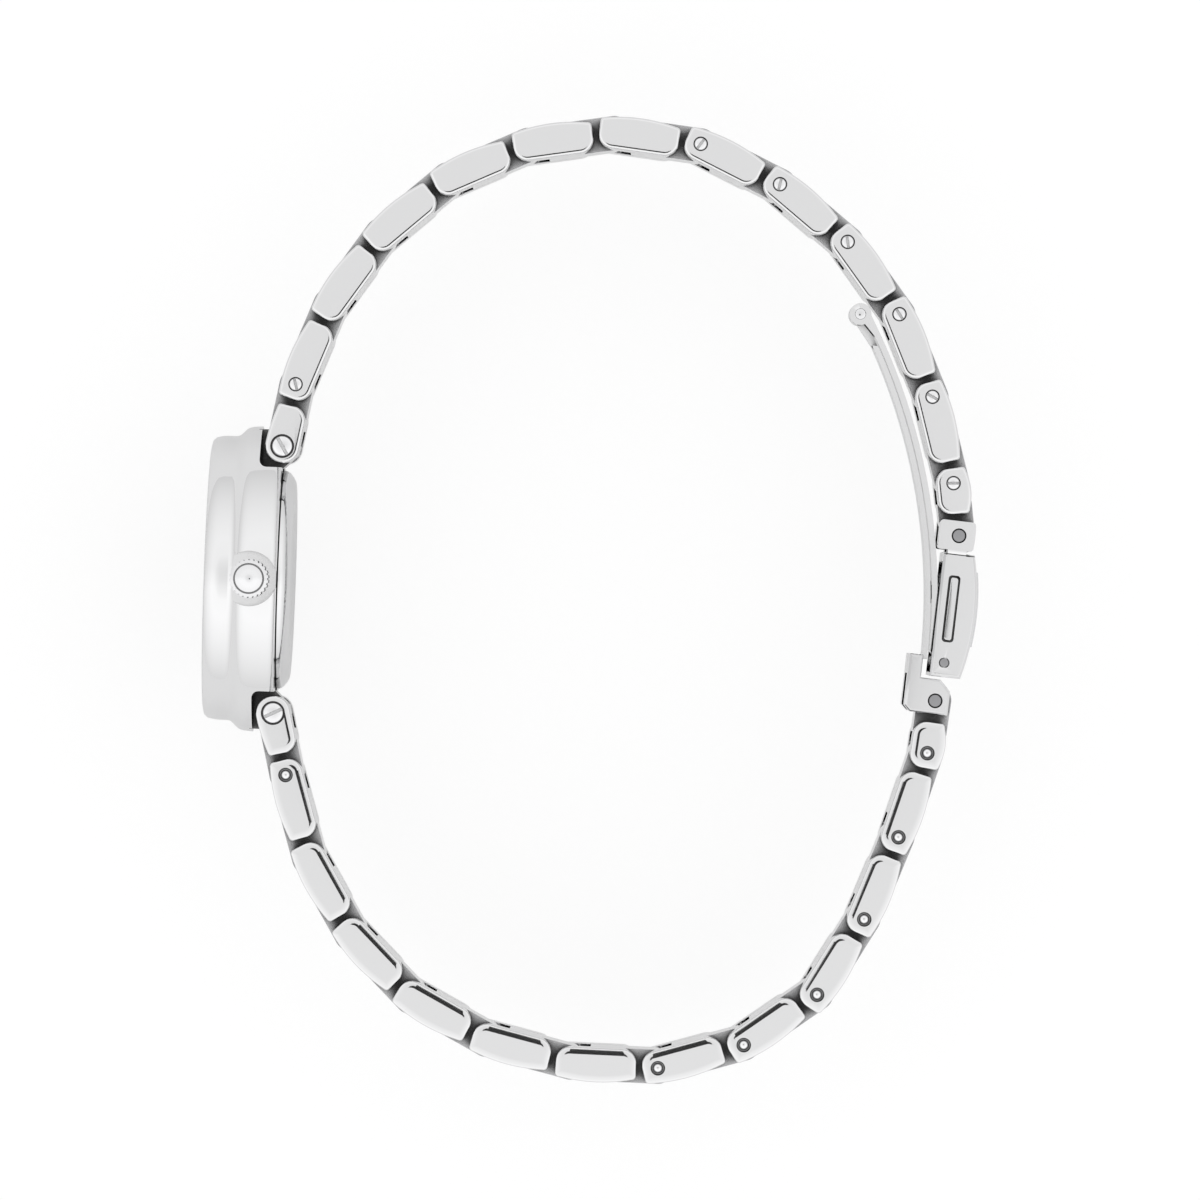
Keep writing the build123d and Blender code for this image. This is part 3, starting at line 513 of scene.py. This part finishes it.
def block_of(low: Vector, high: Vector) -> bmesh.types.BMesh:
    """A plain box between two corners, as a start for shaping."""
    mesh = bmesh.new()
    bmesh.ops.create_cube(mesh, size=1.0)
    bmesh.ops.scale(mesh, vec=high - low, verts=mesh.verts)
    bmesh.ops.translate(mesh, vec=(high + low) / 2.0, verts=mesh.verts)
    return mesh


def turned(points: list[tuple[float, float]], steps: int = 96) -> bmesh.types.BMesh:
    """A turned shape about X from points of (x, radius), which run round its section.

    Args:
        points: The section. It closes from its last point to its first.
        steps: Facets round the turn.

    Returns:
        The shape.
    """
    mesh = bmesh.new()
    ring = [mesh.verts.new((x, radius, 0.0)) for x, radius in points]
    for first, second in zip(ring, ring[1:] + ring[:1]):
        if first.co.y > 0.0 or second.co.y > 0.0:
            mesh.edges.new((first, second))
    bmesh.ops.spin(
        mesh, geom=mesh.verts[:] + mesh.edges[:], cent=(0, 0, 0), axis=(1, 0, 0),
        angle=FULL_TURN, steps=steps, use_merge=True, use_duplicate=False,
    )
    bmesh.ops.remove_doubles(mesh, verts=mesh.verts, dist=MERGE)
    bmesh.ops.recalc_face_normals(mesh, faces=mesh.faces)
    return mesh


def rod(radius: float, low: float, high: float, steps: int = 32) -> bmesh.types.BMesh:
    """A round rod along Z between two heights."""
    mesh = bmesh.new()
    bmesh.ops.create_cone(
        mesh, cap_ends=True, cap_tris=False, segments=steps, radius1=radius, radius2=radius, depth=high - low
    )
    bmesh.ops.translate(mesh, vec=(0.0, 0.0, (high + low) / 2.0), verts=mesh.verts)
    return mesh


def joined(meshes: list[bmesh.types.BMesh]) -> bmesh.types.BMesh:
    """Several shapes as one. The parts are freed."""
    whole = bmesh.new()
    for mesh in meshes:
        data = bpy.data.meshes.new("scratch")
        mesh.to_mesh(data)
        mesh.free()
        whole.from_mesh(data)
        bpy.data.meshes.remove(data)
    return whole


def hinge_of(body: str) -> Vector:
    """The hinge that a body turns on, in millimetres."""
    joint = next(joint for joint in frame["joints"] if joint["child"] == body)
    return Vector(joint["pos_m"]) / MM


def middle_of(node: str) -> Vector:
    """The middle of a node's box, in millimetres."""
    low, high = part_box(node)
    return (low + high) / 2.0 / MM


# Bracelet


@dataclass
class Link:
    """One bracelet link, in its own axes: x along from its pin, y away from the wearer, z up."""

    name: str
    body: str
    start: Vector
    end: Vector
    facing: Side
    is_end: bool = False
    pin_shown: bool = True
    thickness: float = 2.9
    centre_width: float = 5.6
    width: float = 13.0
    centre_proud: float = 0.05
    row_clearance: float = 0.08
    side_gap: float = 0.55
    side_back: float = 1.3
    swing_clearance: float = 0.12
    dome_rise: float = 0.42
    inner_corner: float = 1.2
    outer_corner: float = 0.35
    recess_radius: float = 0.62
    end_recess_radius: float = 1.02
    head_radius: float = 0.52
    end_head_radius: float = 0.84
    recess_depth: float = 0.9
    inner_bevel: float = 0.05
    centre_bevel: float = 0.1
    rim_angle: float = math.radians(60.0)
    least_inner_corner: float = 0.08
    least_outer_corner: float = 0.05
    dome_cuts: int = 12
    corner_cuts: int = 8
    slot_turn: float = 25.0
    slot_half: float = 0.12
    end_slot_half: float = 0.15
    slot_depth: float = 0.25
    head_sunk: float = 0.12
    head_steps: tuple[tuple[float, float], ...] = ((0.05, 0.04), (0.05, 0.02))
    dome_steps: tuple[tuple[float, float], ...] = (
        (0.07, 0.02), (0.03, 0.1), (0.06, 0.09), (0.08, 0.06), (0.1, 0.035), (0.1, 0.012),
    )

    def place(self) -> Matrix:
        """From the link's own axes to the watch's."""
        along = (self.end - self.start).normalized()
        up = Vector((0.0, 0.0, float(self.facing.value)))
        out = up.cross(along)
        turn = Matrix((along, out, up)).transposed().to_4x4()
        return Matrix.Translation(self.start) @ turn

    @property
    def pitch(self) -> float:
        """Distance between the link's two hinges."""
        return (self.end - self.start).length

    @property
    def front(self) -> float:
        """Where the side pieces end."""
        return self.pitch - self.side_back - self.side_gap

    def outline(self, inset: float) -> list[tuple[float, float]]:
        """The side view of an outer piece, drawn in by an inset, always with the same count of points.

        Args:
            inset: How far the outline lies inside the full one.

        Returns:
            Points of (along, out), counter-clockwise from the inner back corner.
        """
        half = self.thickness / 2.0
        back = -half if self.is_end else -self.side_back
        span = self.front - back

        def crest(along: float) -> float:
            """Height of the domed outer side."""
            offset = max(0.0, along / self.front) if self.is_end else (2.0 * along - back - self.front) / span
            return half - self.dome_rise * offset ** 2 - inset

        low = max(self.inner_corner - inset, self.least_inner_corner)
        high = max(self.outer_corner - inset, self.least_outer_corner)
        ends = (half - inset) * 0.98
        low_back = ends if self.is_end else low
        high_back = ends if self.is_end else high
        left, right, floor = back + inset, self.front - inset, inset - half
        corners = (
            (left + low_back, floor + low_back, low_back, 180.0),
            (right - low, floor + low, low, 270.0),
            (right - high, crest(right - high) - high, high, 0.0),
            (left + high_back, crest(left + high_back) - high_back, high_back, 90.0),
        )
        points = []
        for index, (x, y, radius, start) in enumerate(corners):
            if index == 3:
                first, last = corners[2][0], x
                for step in range(1, self.dome_cuts + 1):
                    along = first + (last - first) * step / (self.dome_cuts + 1)
                    points.append((along, crest(along)))
            for step in range(self.corner_cuts + 1):
                turn = math.radians(start + 90.0 * step / self.corner_cuts)
                points.append((x + radius * math.cos(turn), y + radius * math.sin(turn)))
        return points

    def side_piece(self, side: Side) -> bmesh.types.BMesh:
        """One outer piece of the link, with its polished rim and the recess of its pin."""
        edge = Edge.CRISP if self.facing.value * side.value > 0 and self.facing is Side.NEAR else Edge.SOFT
        height = self.width / 2.0 - sum(up for _, up in edge.value)
        base = self.centre_width / 2.0
        inset = 0.0
        layers = [(base, self.inner_bevel), (base + self.inner_bevel, 0.0), (height, 0.0)]
        for inwards, up in edge.value:
            inset += inwards
            height += up
            layers.append((height, inset))
        mesh = bmesh.new()
        rings = [[mesh.verts.new((x, y, z)) for x, y in self.outline(drawn_in)] for z, drawn_in in layers]
        for lower, upper in zip(rings, rings[1:]):
            for index, vert in enumerate(lower):
                after = (index + 1) % len(lower)
                mesh.faces.new((vert, lower[after], upper[after], upper[index]))
        mesh.faces.new(list(reversed(rings[0])))
        mesh.faces.new(rings[-1])
        mesh.normal_update()
        if self.pin_shown:
            radius = self.end_recess_radius if self.is_end else self.recess_radius
            mesh = carve(mesh, [rod(radius, self.width / 2.0 - self.recess_depth, self.width, BORE_FACETS)])
        if side is Side.FAR:
            bmesh.ops.scale(mesh, vec=(1.0, 1.0, -1.0), verts=mesh.verts)
            bmesh.ops.recalc_face_normals(mesh, faces=mesh.faces)
        return mesh

    def centre_piece(self) -> bmesh.types.BMesh:
        """The link's middle piece, whose tongue reaches over the next hinge with a full round."""
        low = -self.thickness / 2.0
        high = self.thickness / 2.0 + self.centre_proud
        reach = (high - low) / 2.0
        start = self.thickness / 2.0 + self.centre_proud + self.swing_clearance
        tongue = self.centre_width / 2.0 - self.row_clearance
        mesh = block_of(Vector((start, low, -tongue)), Vector((self.pitch + reach, high, tongue)))
        ends = [
            edge for edge in mesh.edges
            if all(abs(vert.co.x - self.pitch - reach) < MATCH for vert in edge.verts)
            and abs(edge.verts[0].co.y - edge.verts[1].co.y) < 1e-6
        ]
        bmesh.ops.bevel(
            mesh, geom=ends, offset=reach * 0.999, offset_type="OFFSET", segments=self.dome_cuts, profile=0.5,
            affect="EDGES", clamp_overlap=False, material=-1,
        )
        mesh.normal_update()
        rims = [edge for edge in mesh.edges if edge.calc_face_angle(0.0) > self.rim_angle]
        bmesh.ops.bevel(
            mesh, geom=rims, offset=self.centre_bevel, offset_type="OFFSET", segments=ROUND_CUTS, profile=0.5,
            affect="EDGES", clamp_overlap=True, material=-1,
        )
        mesh.normal_update()
        # The flanks, facing the side pieces across the gaps, take the accent finish, painted darker as shade.
        for face in mesh.faces:
            if abs(face.normal.z) > FLAT_FACE:
                face.material_index = 1
        return mesh

    def pin(self) -> bmesh.types.BMesh:
        """The hinge screw: a slotted head on the facing side and a domed end on the other."""
        top = self.width / 2.0 - self.head_sunk
        radius = self.end_head_radius if self.is_end else self.head_radius
        low = -top if self.is_end else -top + sum(up for _, up in self.dome_steps)
        shank = rod(radius, low, top, PIN_FACETS)
        for face in [face for face in shank.faces if abs(face.normal.z) > FLAT_FACE]:
            domed = face.normal.z < 0.0 and not self.is_end
            for inwards, up in self.dome_steps if domed else self.head_steps:
                bmesh.ops.inset_region(shank, faces=[face], thickness=inwards, depth=up)
        slot = self.end_slot_half if self.is_end else self.slot_half
        turn = Matrix.Rotation(math.radians(self.slot_turn), 3, "Z")
        cutters = []
        for side in (1, -1) if self.is_end else (1,):
            cutter = block_of(Vector((-2.0, -slot, top - self.slot_depth)), Vector((2.0, slot, top + 1.0)))
            bmesh.ops.scale(cutter, vec=(1.0, 1.0, float(side)), verts=cutter.verts)
            bmesh.ops.recalc_face_normals(cutter, faces=cutter.faces)
            bmesh.ops.rotate(cutter, cent=(0, 0, 0), matrix=turn, verts=cutter.verts)
            cutters.append(cutter)
        return carve(shank, cutters)

    def build(self, bench: Bench) -> None:
        """Builds the link's pieces.

        Args:
            bench: Finishes the pieces.
        """
        place = self.place()
        for side in Side:
            word = "near" if side.value * self.facing.value > 0 else "far"
            bench.piece(
                f"{self.name}_side_{word}", self.side_piece(side), self.body, STEEL,
                (self.name,), place,
            )
        bench.piece(
            f"{self.name}_centre", self.centre_piece(), self.body, CENTRE, (self.name,), place, accent=FLANK_SHADE,
        )
        if self.pin_shown:
            bench.piece(f"{self.name}_screw", self.pin(), self.body, SCREW, (self.name,), place)


@dataclass
class Bracelet:
    """Both halves of the bracelet."""

    bench: Bench
    link_count: int = 11
    hidden_pins: tuple[int, ...] = (2, 3, 4, 5, 6)
    slot_step: float = 37.0

    @property
    def end_slots(self) -> dict[Half, float]:
        """How far the slot of each half's end screw is turned from its link, in degrees."""
        return {Half.UPPER: 41.0, Half.LOWER: 77.0}

    def build(self) -> None:
        """Builds every link of both halves."""
        numbered = [f"link_{number:02d}" for number in range(1, self.link_count + 1)]
        words = ["end_link", *numbered, "half_link"]
        for half in Half:
            names = [f"{half.value}_{word}" for word in words]
            pins = [hinge_of(name) for name in names]
            last = hinge_of("cover") if half is Half.UPPER else middle_of("block_screws")
            last.z = 0.0
            pins.append(last)
            facing = Side.NEAR if half is Half.UPPER else Side.FAR
            for index, name in enumerate(names):
                Link(
                    name, name, pins[index], pins[index + 1], facing,
                    is_end=index == 0, pin_shown=index not in self.hidden_pins,
                    slot_turn=self.end_slots[half] if index == 0 else self.slot_step * index,
                ).build(self.bench)


# Case


@dataclass
class Case:
    """The case with its bezel, crystal, back, crown, dial and hands."""

    bench: Bench
    bezel_profile: tuple[tuple[float, float], ...] = (
        (-6.0, 9.6), (-6.0, 10.48), (-7.2, 10.48), (-7.28, 10.6), (-7.3, 10.85), (-7.3, 11.3),
        (-7.2, 11.75), (-6.9, 12.0), (-6.37, 12.12), (-5.9, 12.15), (-5.25, 12.15), (-5.25, 9.6),
    )
    back_profile: tuple[tuple[float, float], ...] = (
        (0.0, 0.0), (0.0, 8.2), (-0.05, 8.45), (-0.22, 8.75), (-0.49, 9.1), (-0.7, 9.27), (-0.85, 9.32),
        (-1.07, 9.33), (-1.07, 8.57), (-1.92, 8.57), (-1.92, 7.97), (-1.07, 7.97), (-1.07, 0.0),
    )

    middle_profile: tuple[tuple[float, float], ...] = (
        (-5.25, 9.72), (-5.25, 12.15), (-5.08, 12.17), (-4.9, 12.25), (-4.7, 12.42), (-4.5, 12.63),
        (-4.3, 12.81), (-4.05, 12.93), (-3.75, 13.0), (-3.3, 13.04), (-2.6, 13.08), (-1.75, 13.1),
        (-1.5, 13.08), (-1.32, 13.0), (-1.2, 12.86), (-1.15, 12.66), (-1.15, 9.19), (-1.46, 9.19),
        (-1.46, 8.81), (-1.15, 8.81), (-1.15, 8.72), (-3.2, 8.72), (-3.2, 9.72),
    )
    lug_profile: tuple[tuple[float, float], ...] = (
        (-3.25, 8.75), (-1.15, 8.75), (-1.15, 9.48), (0.1, 10.66), (0.275, 11.35), (0.1, 12.05),
        (-0.45, 12.6), (-1.175, 12.79), (-3.25, 12.79),
    )
    lug_half: float = 2.72
    lug_bore: float = 1.0
    notch_depth: float = 3.0
    notch_side: float = 9.52
    notch_corner: float = 0.6
    end_screw: tuple[float, float] = (-1.175, 11.353)
    crown_back: float = 3.4
    recess_radius: float = 2.35
    recess_floor: float = 12.22
    tube_bore: float = 0.84
    groove_radius: float = 1.16
    groove_width: float = 0.14
    groove_depth: float = 0.55
    crown_round: float = 0.05
    hand_round: float = 0.02
    marker_round: float = 0.03
    turn_facets: int = 160
    middle_facets: int = 240
    hole_facets: int = 64
    reach: float = 15.0

    def notch(self, side: int) -> bmesh.types.BMesh:
        """The space that an end link leaves the case through, on the side of one end of the dial."""
        low, high = sorted((side * self.notch_side, side * self.reach))
        mesh = block_of(Vector((-self.notch_depth, low, -self.reach)), Vector((2.0, high, self.reach)))
        corner = [
            edge for edge in mesh.edges
            if all(abs(vert.co.x + self.notch_depth) < MATCH for vert in edge.verts)
            and all(abs(vert.co.y - side * self.notch_side) < MATCH for vert in edge.verts)
        ]
        bmesh.ops.bevel(
            mesh, geom=corner, offset=self.notch_corner, offset_type="OFFSET", segments=6, profile=0.5,
            affect="EDGES", clamp_overlap=False, material=-1,
        )
        return mesh

    def lug(self, side: int) -> bmesh.types.BMesh:
        """The tongue of the case between the two sides of an end link, bored for its screw."""
        mesh = bmesh.new()
        rings = [
            [mesh.verts.new((x, side * y, z)) for x, y in self.lug_profile]
            for z in (-self.lug_half, self.lug_half)
        ]
        for index, vert in enumerate(rings[0]):
            after = (index + 1) % len(rings[0])
            mesh.faces.new((vert, rings[0][after], rings[1][after], rings[1][index]))
        mesh.faces.new(rings[0])
        mesh.faces.new(rings[1])
        bmesh.ops.recalc_face_normals(mesh, faces=mesh.faces)
        bore = rod(self.lug_bore, -self.reach, self.reach, BORE_FACETS)
        bmesh.ops.translate(bore, vec=(self.end_screw[0], side * self.end_screw[1], 0.0), verts=bore.verts)
        mesh = carve(mesh, [bore])
        mesh.normal_update()
        # Every face of the lug takes the accent finish, which paints it darker as shade.
        for face in mesh.faces:
            face.material_index = 1
        return mesh

    def middle(self) -> bmesh.types.BMesh:
        """The mid-case: a turned ring with a soft neck, cut for the end links and the crown."""
        cutters = [self.notch(1), self.notch(-1)]
        for radius, floor in ((self.recess_radius, self.recess_floor), (self.tube_bore, 0.0)):
            cutter = rod(radius, floor, self.reach, self.hole_facets)
            bmesh.ops.translate(cutter, vec=(-self.crown_back, 0.0, 0.0), verts=cutter.verts)
            cutters.append(cutter)
        ring = carve(turned(list(self.middle_profile), self.middle_facets), cutters)
        return joined([ring, self.lug(1), self.lug(-1)])

    def crown(self) -> bmesh.types.BMesh:
        """The fluted crown, with a groove round its smooth cap."""
        _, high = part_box("crown")
        groove = carve(
            rod(
                self.groove_radius + self.groove_width, high.z / MM - self.groove_depth, self.reach,
                self.hole_facets,
            ),
            [rod(self.groove_radius, 0.0, self.reach + 1.0, self.hole_facets)],
        )
        bmesh.ops.translate(groove, vec=(-self.crown_back, 0.0, 0.0), verts=groove.verts)
        return carve(self.bench.softened("crown", self.crown_round), [groove])

    def build(self) -> None:
        """Builds the case's pieces."""
        bench = self.bench
        bench.piece("mid_case_ring", self.middle(), "case", CASE, ("mid_case",), accent=LUG_SHADE)
        for name, profile, node in (
            ("bezel_ring", self.bezel_profile, "bezel"), ("case_back_cover", self.back_profile, "case_back"),
        ):
            bench.piece(name, turned(list(profile), self.turn_facets), "case", CASE, (node,), flip=True)
        markers = bench.softened("hour_markers", self.marker_round)
        bench.piece("hour_markers_piece", markers, "case", STEEL, ("hour_markers",))
        bench.piece("crown_button", self.crown(), "crown", CROWN, ("crown",))
        for node, body in (("hour_hand", "hour_hand"), ("minute_hand", "minute_hand")):
            bench.piece(f"{node}_piece", bench.softened(node, self.hand_round), body, STEEL, (node,))
        for node, finish in (
            ("crystal", CRYSTAL), ("crystal_gasket", HOLDER), ("flange_ring", STEEL), ("dial", DIAL),
            ("main_plate", BRASS), ("train_bridge", BRASS), ("button_cell", SPRING), ("motor_coil", COPPER),
            ("movement_holder", HOLDER), ("case_back_gasket", GASKET), ("crown_tube", STEEL),
            ("winding_stem", SPRING), ("setting_lever", SPRING),
        ):
            bench.dress_node(node, finish)


# Clasp


@dataclass
class Clasp:
    """The folding clasp: cover, buttons, springs and the two blades."""

    bench: Bench
    pin_radius: float = 0.38
    screw_radius: float = 0.52
    joint_along: float = 1.62
    joint_half: float = 0.045
    joint_depth: float = 0.5
    button_shrink: float = 0.1
    cover_round: float = 0.2
    button_round: float = 0.14
    dome_height: float = 0.05
    end_steps: tuple[tuple[float, float], ...] = ((0.05, 0.03), (0.12, 0.02))
    joint_reach: float = 4.0

    def cover(self) -> bmesh.types.BMesh:
        """The cover, with a fine joint between its fork and its box."""
        low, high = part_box("clasp_cover")
        pin = hinge_of("cover")
        along = (hinge_of("middle_blade") - pin).normalized()
        out = Vector((-along.y, along.x, 0.0))
        turn = Matrix((along, out, Vector((0.0, 0.0, 1.0)))).transposed().to_4x4()
        cutters = []
        for top, bottom in (
            (high.z / MM + 1.0, high.z / MM - self.joint_depth),
            (low.z / MM + self.joint_depth, low.z / MM - 1.0),
        ):
            cutter = block_of(
                Vector((self.joint_along - self.joint_half, -self.joint_reach, bottom)),
                Vector((self.joint_along + self.joint_half, self.joint_reach, top)),
            )
            bmesh.ops.transform(cutter, matrix=Matrix.Translation(pin) @ turn, verts=cutter.verts)
            cutters.append(cutter)
        return carve(self.bench.softened("clasp_cover", self.cover_round), cutters)

    def button(self, node: str) -> bmesh.types.BMesh:
        """A push button, drawn in a little from its window, with rounded edges."""
        mesh = self.bench.softened(node, self.button_round)
        centre = middle_of(node)
        for vert in mesh.verts:
            for axis in (0, 1):
                offset = vert.co[axis] - centre[axis]
                vert.co[axis] -= math.copysign(min(abs(offset), self.button_shrink), offset)
        return mesh

    def pin_ends(self, node: str, radius: float) -> bmesh.types.BMesh:
        """A plain pin in a node's place, with lightly domed, unpolished ends.

        Args:
            node: The node, a single pin or a row of pins along Z.
            radius: The pin's radius.

        Returns:
            The pin or pins.
        """
        centre = middle_of(node)
        levels = sorted({round(vert.co.z / MM, 2) for vert in frame["nodes"][node].data.vertices})
        spans = [(levels[0], levels[-1])]
        if node == "block_screws":
            below = max(level for level in levels if level < 0.0)
            above = min(level for level in levels if level > 0.0)
            spans = [(levels[0], below), (above, levels[-1])]
        rods = []
        for low, high in spans:
            shape = rod(radius, low + self.dome_height, high - self.dome_height, PIN_FACETS)
            for face in [face for face in shape.faces if abs(face.normal.z) > FLAT_FACE]:
                for inwards, up in self.end_steps:
                    bmesh.ops.inset_region(shape, faces=[face], thickness=inwards, depth=up)
            bmesh.ops.translate(shape, vec=(centre.x, centre.y, 0.0), verts=shape.verts)
            rods.append(shape)
        return joined(rods)

    def build(self) -> None:
        """Builds the clasp's pieces."""
        bench = self.bench
        bench.piece("clasp_cover_shell", self.cover(), "cover", STEEL, ("clasp_cover",))
        for word in ("near", "far"):
            node = f"push_button_{word}"
            bench.piece(f"{node}_piece", self.button(node), node, STEEL, (node,))
        for node, body, finish, width in (
            ("middle_blade", "middle_blade", STEEL, 0.06),
            ("inner_blade", "inner_blade", STEEL, 0.08),
            ("barrel_pin", "middle_blade", SCREW, 0.05),
        ):
            bench.piece(f"{node}_piece", bench.softened(node, width), body, finish, (node,))
        for node, body, radius in (
            ("cover_screw", "cover", self.screw_radius), ("blade_pin", "cover", self.pin_radius),
            ("block_screws", "inner_blade", self.screw_radius),
        ):
            bench.piece(f"{node}_ends", self.pin_ends(node, radius), body, PIN_END, (node,))
        for node in ("button_spring_near", "button_spring_far"):
            bench.dress_node(node, SPRING)


# Studio


@dataclass
class Studio:
    """The table, the white surround, the soft lamp, the camera and its mirrored lens."""

    floor_height: float = -13.15
    floor_half: float = 2500.0
    centre: tuple[float, float] = (26.28, -0.783)
    near_face: float = 6.5
    frame_width: float = 102.0
    distance: float = 1000.0
    roll: float = 2.0
    sensor: float = 36.0
    lens_disc: float = 52.0
    lens_back: float = 15.0
    floor_glow: float = 0.75
    floor_tone: float = 0.92
    floor_mirrored: float = 0.83
    floor_roughness: float = 0.9
    glow_strength: float = 1.05
    tent_stops: tuple[tuple[float, float], ...] = (
        (0.0, 0.76), (0.3, 0.88), (0.6, 0.99), (0.85, 1.07), (0.95, 1.05), (0.99, 0.92), (1.0, 0.86),
    )
    lamp_place: tuple[float, float, float] = (-0.35, 0.55, 0.9)
    lamp_aim: tuple[float, float, float] = (0.026, 0.0, 0.0)
    lamp_size: float = 0.9
    lamp_power: float = 0.15

    def build(self) -> None:
        """Builds the studio."""
        bpy.context.scene.view_settings.view_transform = "Standard"
        self.floor()
        self.surround()
        self.lamps()
        self.camera()
        self.lens()

    def floor(self) -> None:
        """A pale table that looks white to the camera and still takes the watch's shadow."""
        mesh = bmesh.new()
        bmesh.ops.create_grid(mesh, x_segments=1, y_segments=1, size=self.floor_half * MM)
        bmesh.ops.translate(mesh, vec=(0.0, 0.0, self.floor_height * MM), verts=mesh.verts)
        data = bpy.data.meshes.new("table")
        mesh.to_mesh(data)
        mesh.free()
        shader = Shader("table_white")
        nodes = shader.tree.nodes
        tone = nodes.new("ShaderNodeMix")
        tone.data_type = "RGBA"
        for key, value in (("A", self.floor_tone), ("B", self.floor_mirrored)):
            tone.inputs[key].default_value = (value, value, value, 1.0)
        shader.link(tone.outputs["Result"], shader.principled.inputs["Base Color"])
        shader.principled.inputs["Roughness"].default_value = self.floor_roughness
        shader.principled.inputs["Specular IOR Level"].default_value = 0.0
        glow = nodes.new("ShaderNodeEmission")
        glow.inputs["Strength"].default_value = self.glow_strength
        path = nodes.new("ShaderNodeLightPath")
        share = nodes.new("ShaderNodeMath")
        share.operation = "MULTIPLY"
        share.inputs[1].default_value = self.floor_glow
        mix = nodes.new("ShaderNodeMixShader")
        shader.link(path.outputs["Is Glossy Ray"], tone.inputs["Factor"])
        shader.link(path.outputs["Is Camera Ray"], share.inputs[0])
        shader.link(share.outputs[0], mix.inputs[0])
        shader.link(shader.principled.outputs[0], mix.inputs[1])
        shader.link(glow.outputs[0], mix.inputs[2])
        shader.link(mix.outputs[0], nodes["Material Output"].inputs["Surface"])
        data.materials.append(shader.material)
        table = bpy.data.objects.new("table", data)
        bpy.context.scene.collection.objects.link(table)

    def surround(self) -> None:
        """A white tent, brightest high up, duller at the horizon and straight overhead."""
        world = bpy.data.worlds.new("white_tent")
        world.use_nodes = True
        tree = world.node_tree
        background = tree.nodes["Background"]
        place = tree.nodes.new("ShaderNodeTexCoord")
        split = tree.nodes.new("ShaderNodeSeparateXYZ")
        ramp = tree.nodes.new("ShaderNodeValToRGB")
        while len(ramp.color_ramp.elements) < len(self.tent_stops):
            ramp.color_ramp.elements.new(0.5)
        for element, (position, value) in zip(ramp.color_ramp.elements, self.tent_stops):
            element.position = position
            element.color = (value, value, value, 1.0)
        path = tree.nodes.new("ShaderNodeLightPath")
        seen = tree.nodes.new("ShaderNodeMix")
        seen.data_type = "RGBA"
        seen.inputs["B"].default_value = (1.0, 1.0, 1.0, 1.0)
        tree.links.new(place.outputs["Generated"], split.inputs[0])
        tree.links.new(split.outputs["Z"], ramp.inputs[0])
        tree.links.new(path.outputs["Is Camera Ray"], seen.inputs["Factor"])
        slope = tree.nodes.new("ShaderNodeMapRange")
        for key, value in (("From Min", -0.12), ("From Max", 0.12), ("To Min", 1.06), ("To Max", 0.95)):
            slope.inputs[key].default_value = value
        tent = tree.nodes.new("ShaderNodeVectorMath")
        tent.operation = "SCALE"
        tree.links.new(split.outputs["Y"], slope.inputs["Value"])
        tree.links.new(ramp.outputs["Color"], tent.inputs[0])
        tree.links.new(slope.outputs["Result"], tent.inputs["Scale"])
        tree.links.new(tent.outputs[0], seen.inputs["A"])
        tree.links.new(seen.outputs["Result"], background.inputs["Color"])
        bpy.context.scene.world = world

    def lamps(self) -> None:
        """One wide soft lamp over the watch's twelve o'clock side."""
        data = bpy.data.lights.new("soft_box", "AREA")
        data.shape = "DISK"
        data.size = self.lamp_size
        data.energy = self.lamp_power
        lamp = bpy.data.objects.new("soft_box", data)
        lamp.visible_glossy = False
        lamp.location = self.lamp_place
        aim = Vector(self.lamp_aim) - lamp.location
        lamp.rotation_euler = aim.to_track_quat("-Z", "Y").to_euler()
        bpy.context.scene.collection.objects.link(lamp)

    def camera(self) -> None:
        """The camera over the watch."""
        data = bpy.data.cameras.new("camera")
        data.sensor_width = self.sensor
        data.lens = self.sensor * self.distance / self.frame_width
        data.clip_end = 20.0
        data.clip_start = 0.005
        camera = bpy.data.objects.new("camera", data)
        height = self.near_face + self.distance
        camera.location = (self.centre[0] * MM, self.centre[1] * MM, height * MM)
        camera.rotation_euler = (0.0, 0.0, math.radians(self.roll))
        bpy.context.scene.collection.objects.link(camera)
        bpy.context.scene.camera = camera

    def lens(self) -> None:
        """The dark round of the camera's lens, which only the steel mirrors."""
        height = self.near_face + self.distance
        mesh = bmesh.new()
        bmesh.ops.create_circle(mesh, cap_ends=True, segments=64, radius=self.lens_disc * MM)
        behind = Vector((*self.centre, height + self.lens_back)) * MM
        bmesh.ops.translate(mesh, vec=behind, verts=mesh.verts)
        disc_data = bpy.data.meshes.new("lens")
        mesh.to_mesh(disc_data)
        mesh.free()
        shader = Shader("lens_black")
        shader.principled.inputs["Base Color"].default_value = (0.01, 0.01, 0.01, 1.0)
        disc_data.materials.append(shader.material)
        disc = bpy.data.objects.new("lens", disc_data)
        disc.visible_camera = False
        disc.visible_diffuse = False
        disc.visible_shadow = False
        bpy.context.scene.collection.objects.link(disc)


def main() -> None:
    """Builds the watch and its studio."""
    logging.basicConfig(level=logging.INFO, format="%(message)s")
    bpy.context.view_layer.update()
    bench = Bench(Palette())
    Bracelet(bench).build()
    Case(bench).build()
    Clasp(bench).build()
    Studio().build()


if __name__ == "__main__":
    main()
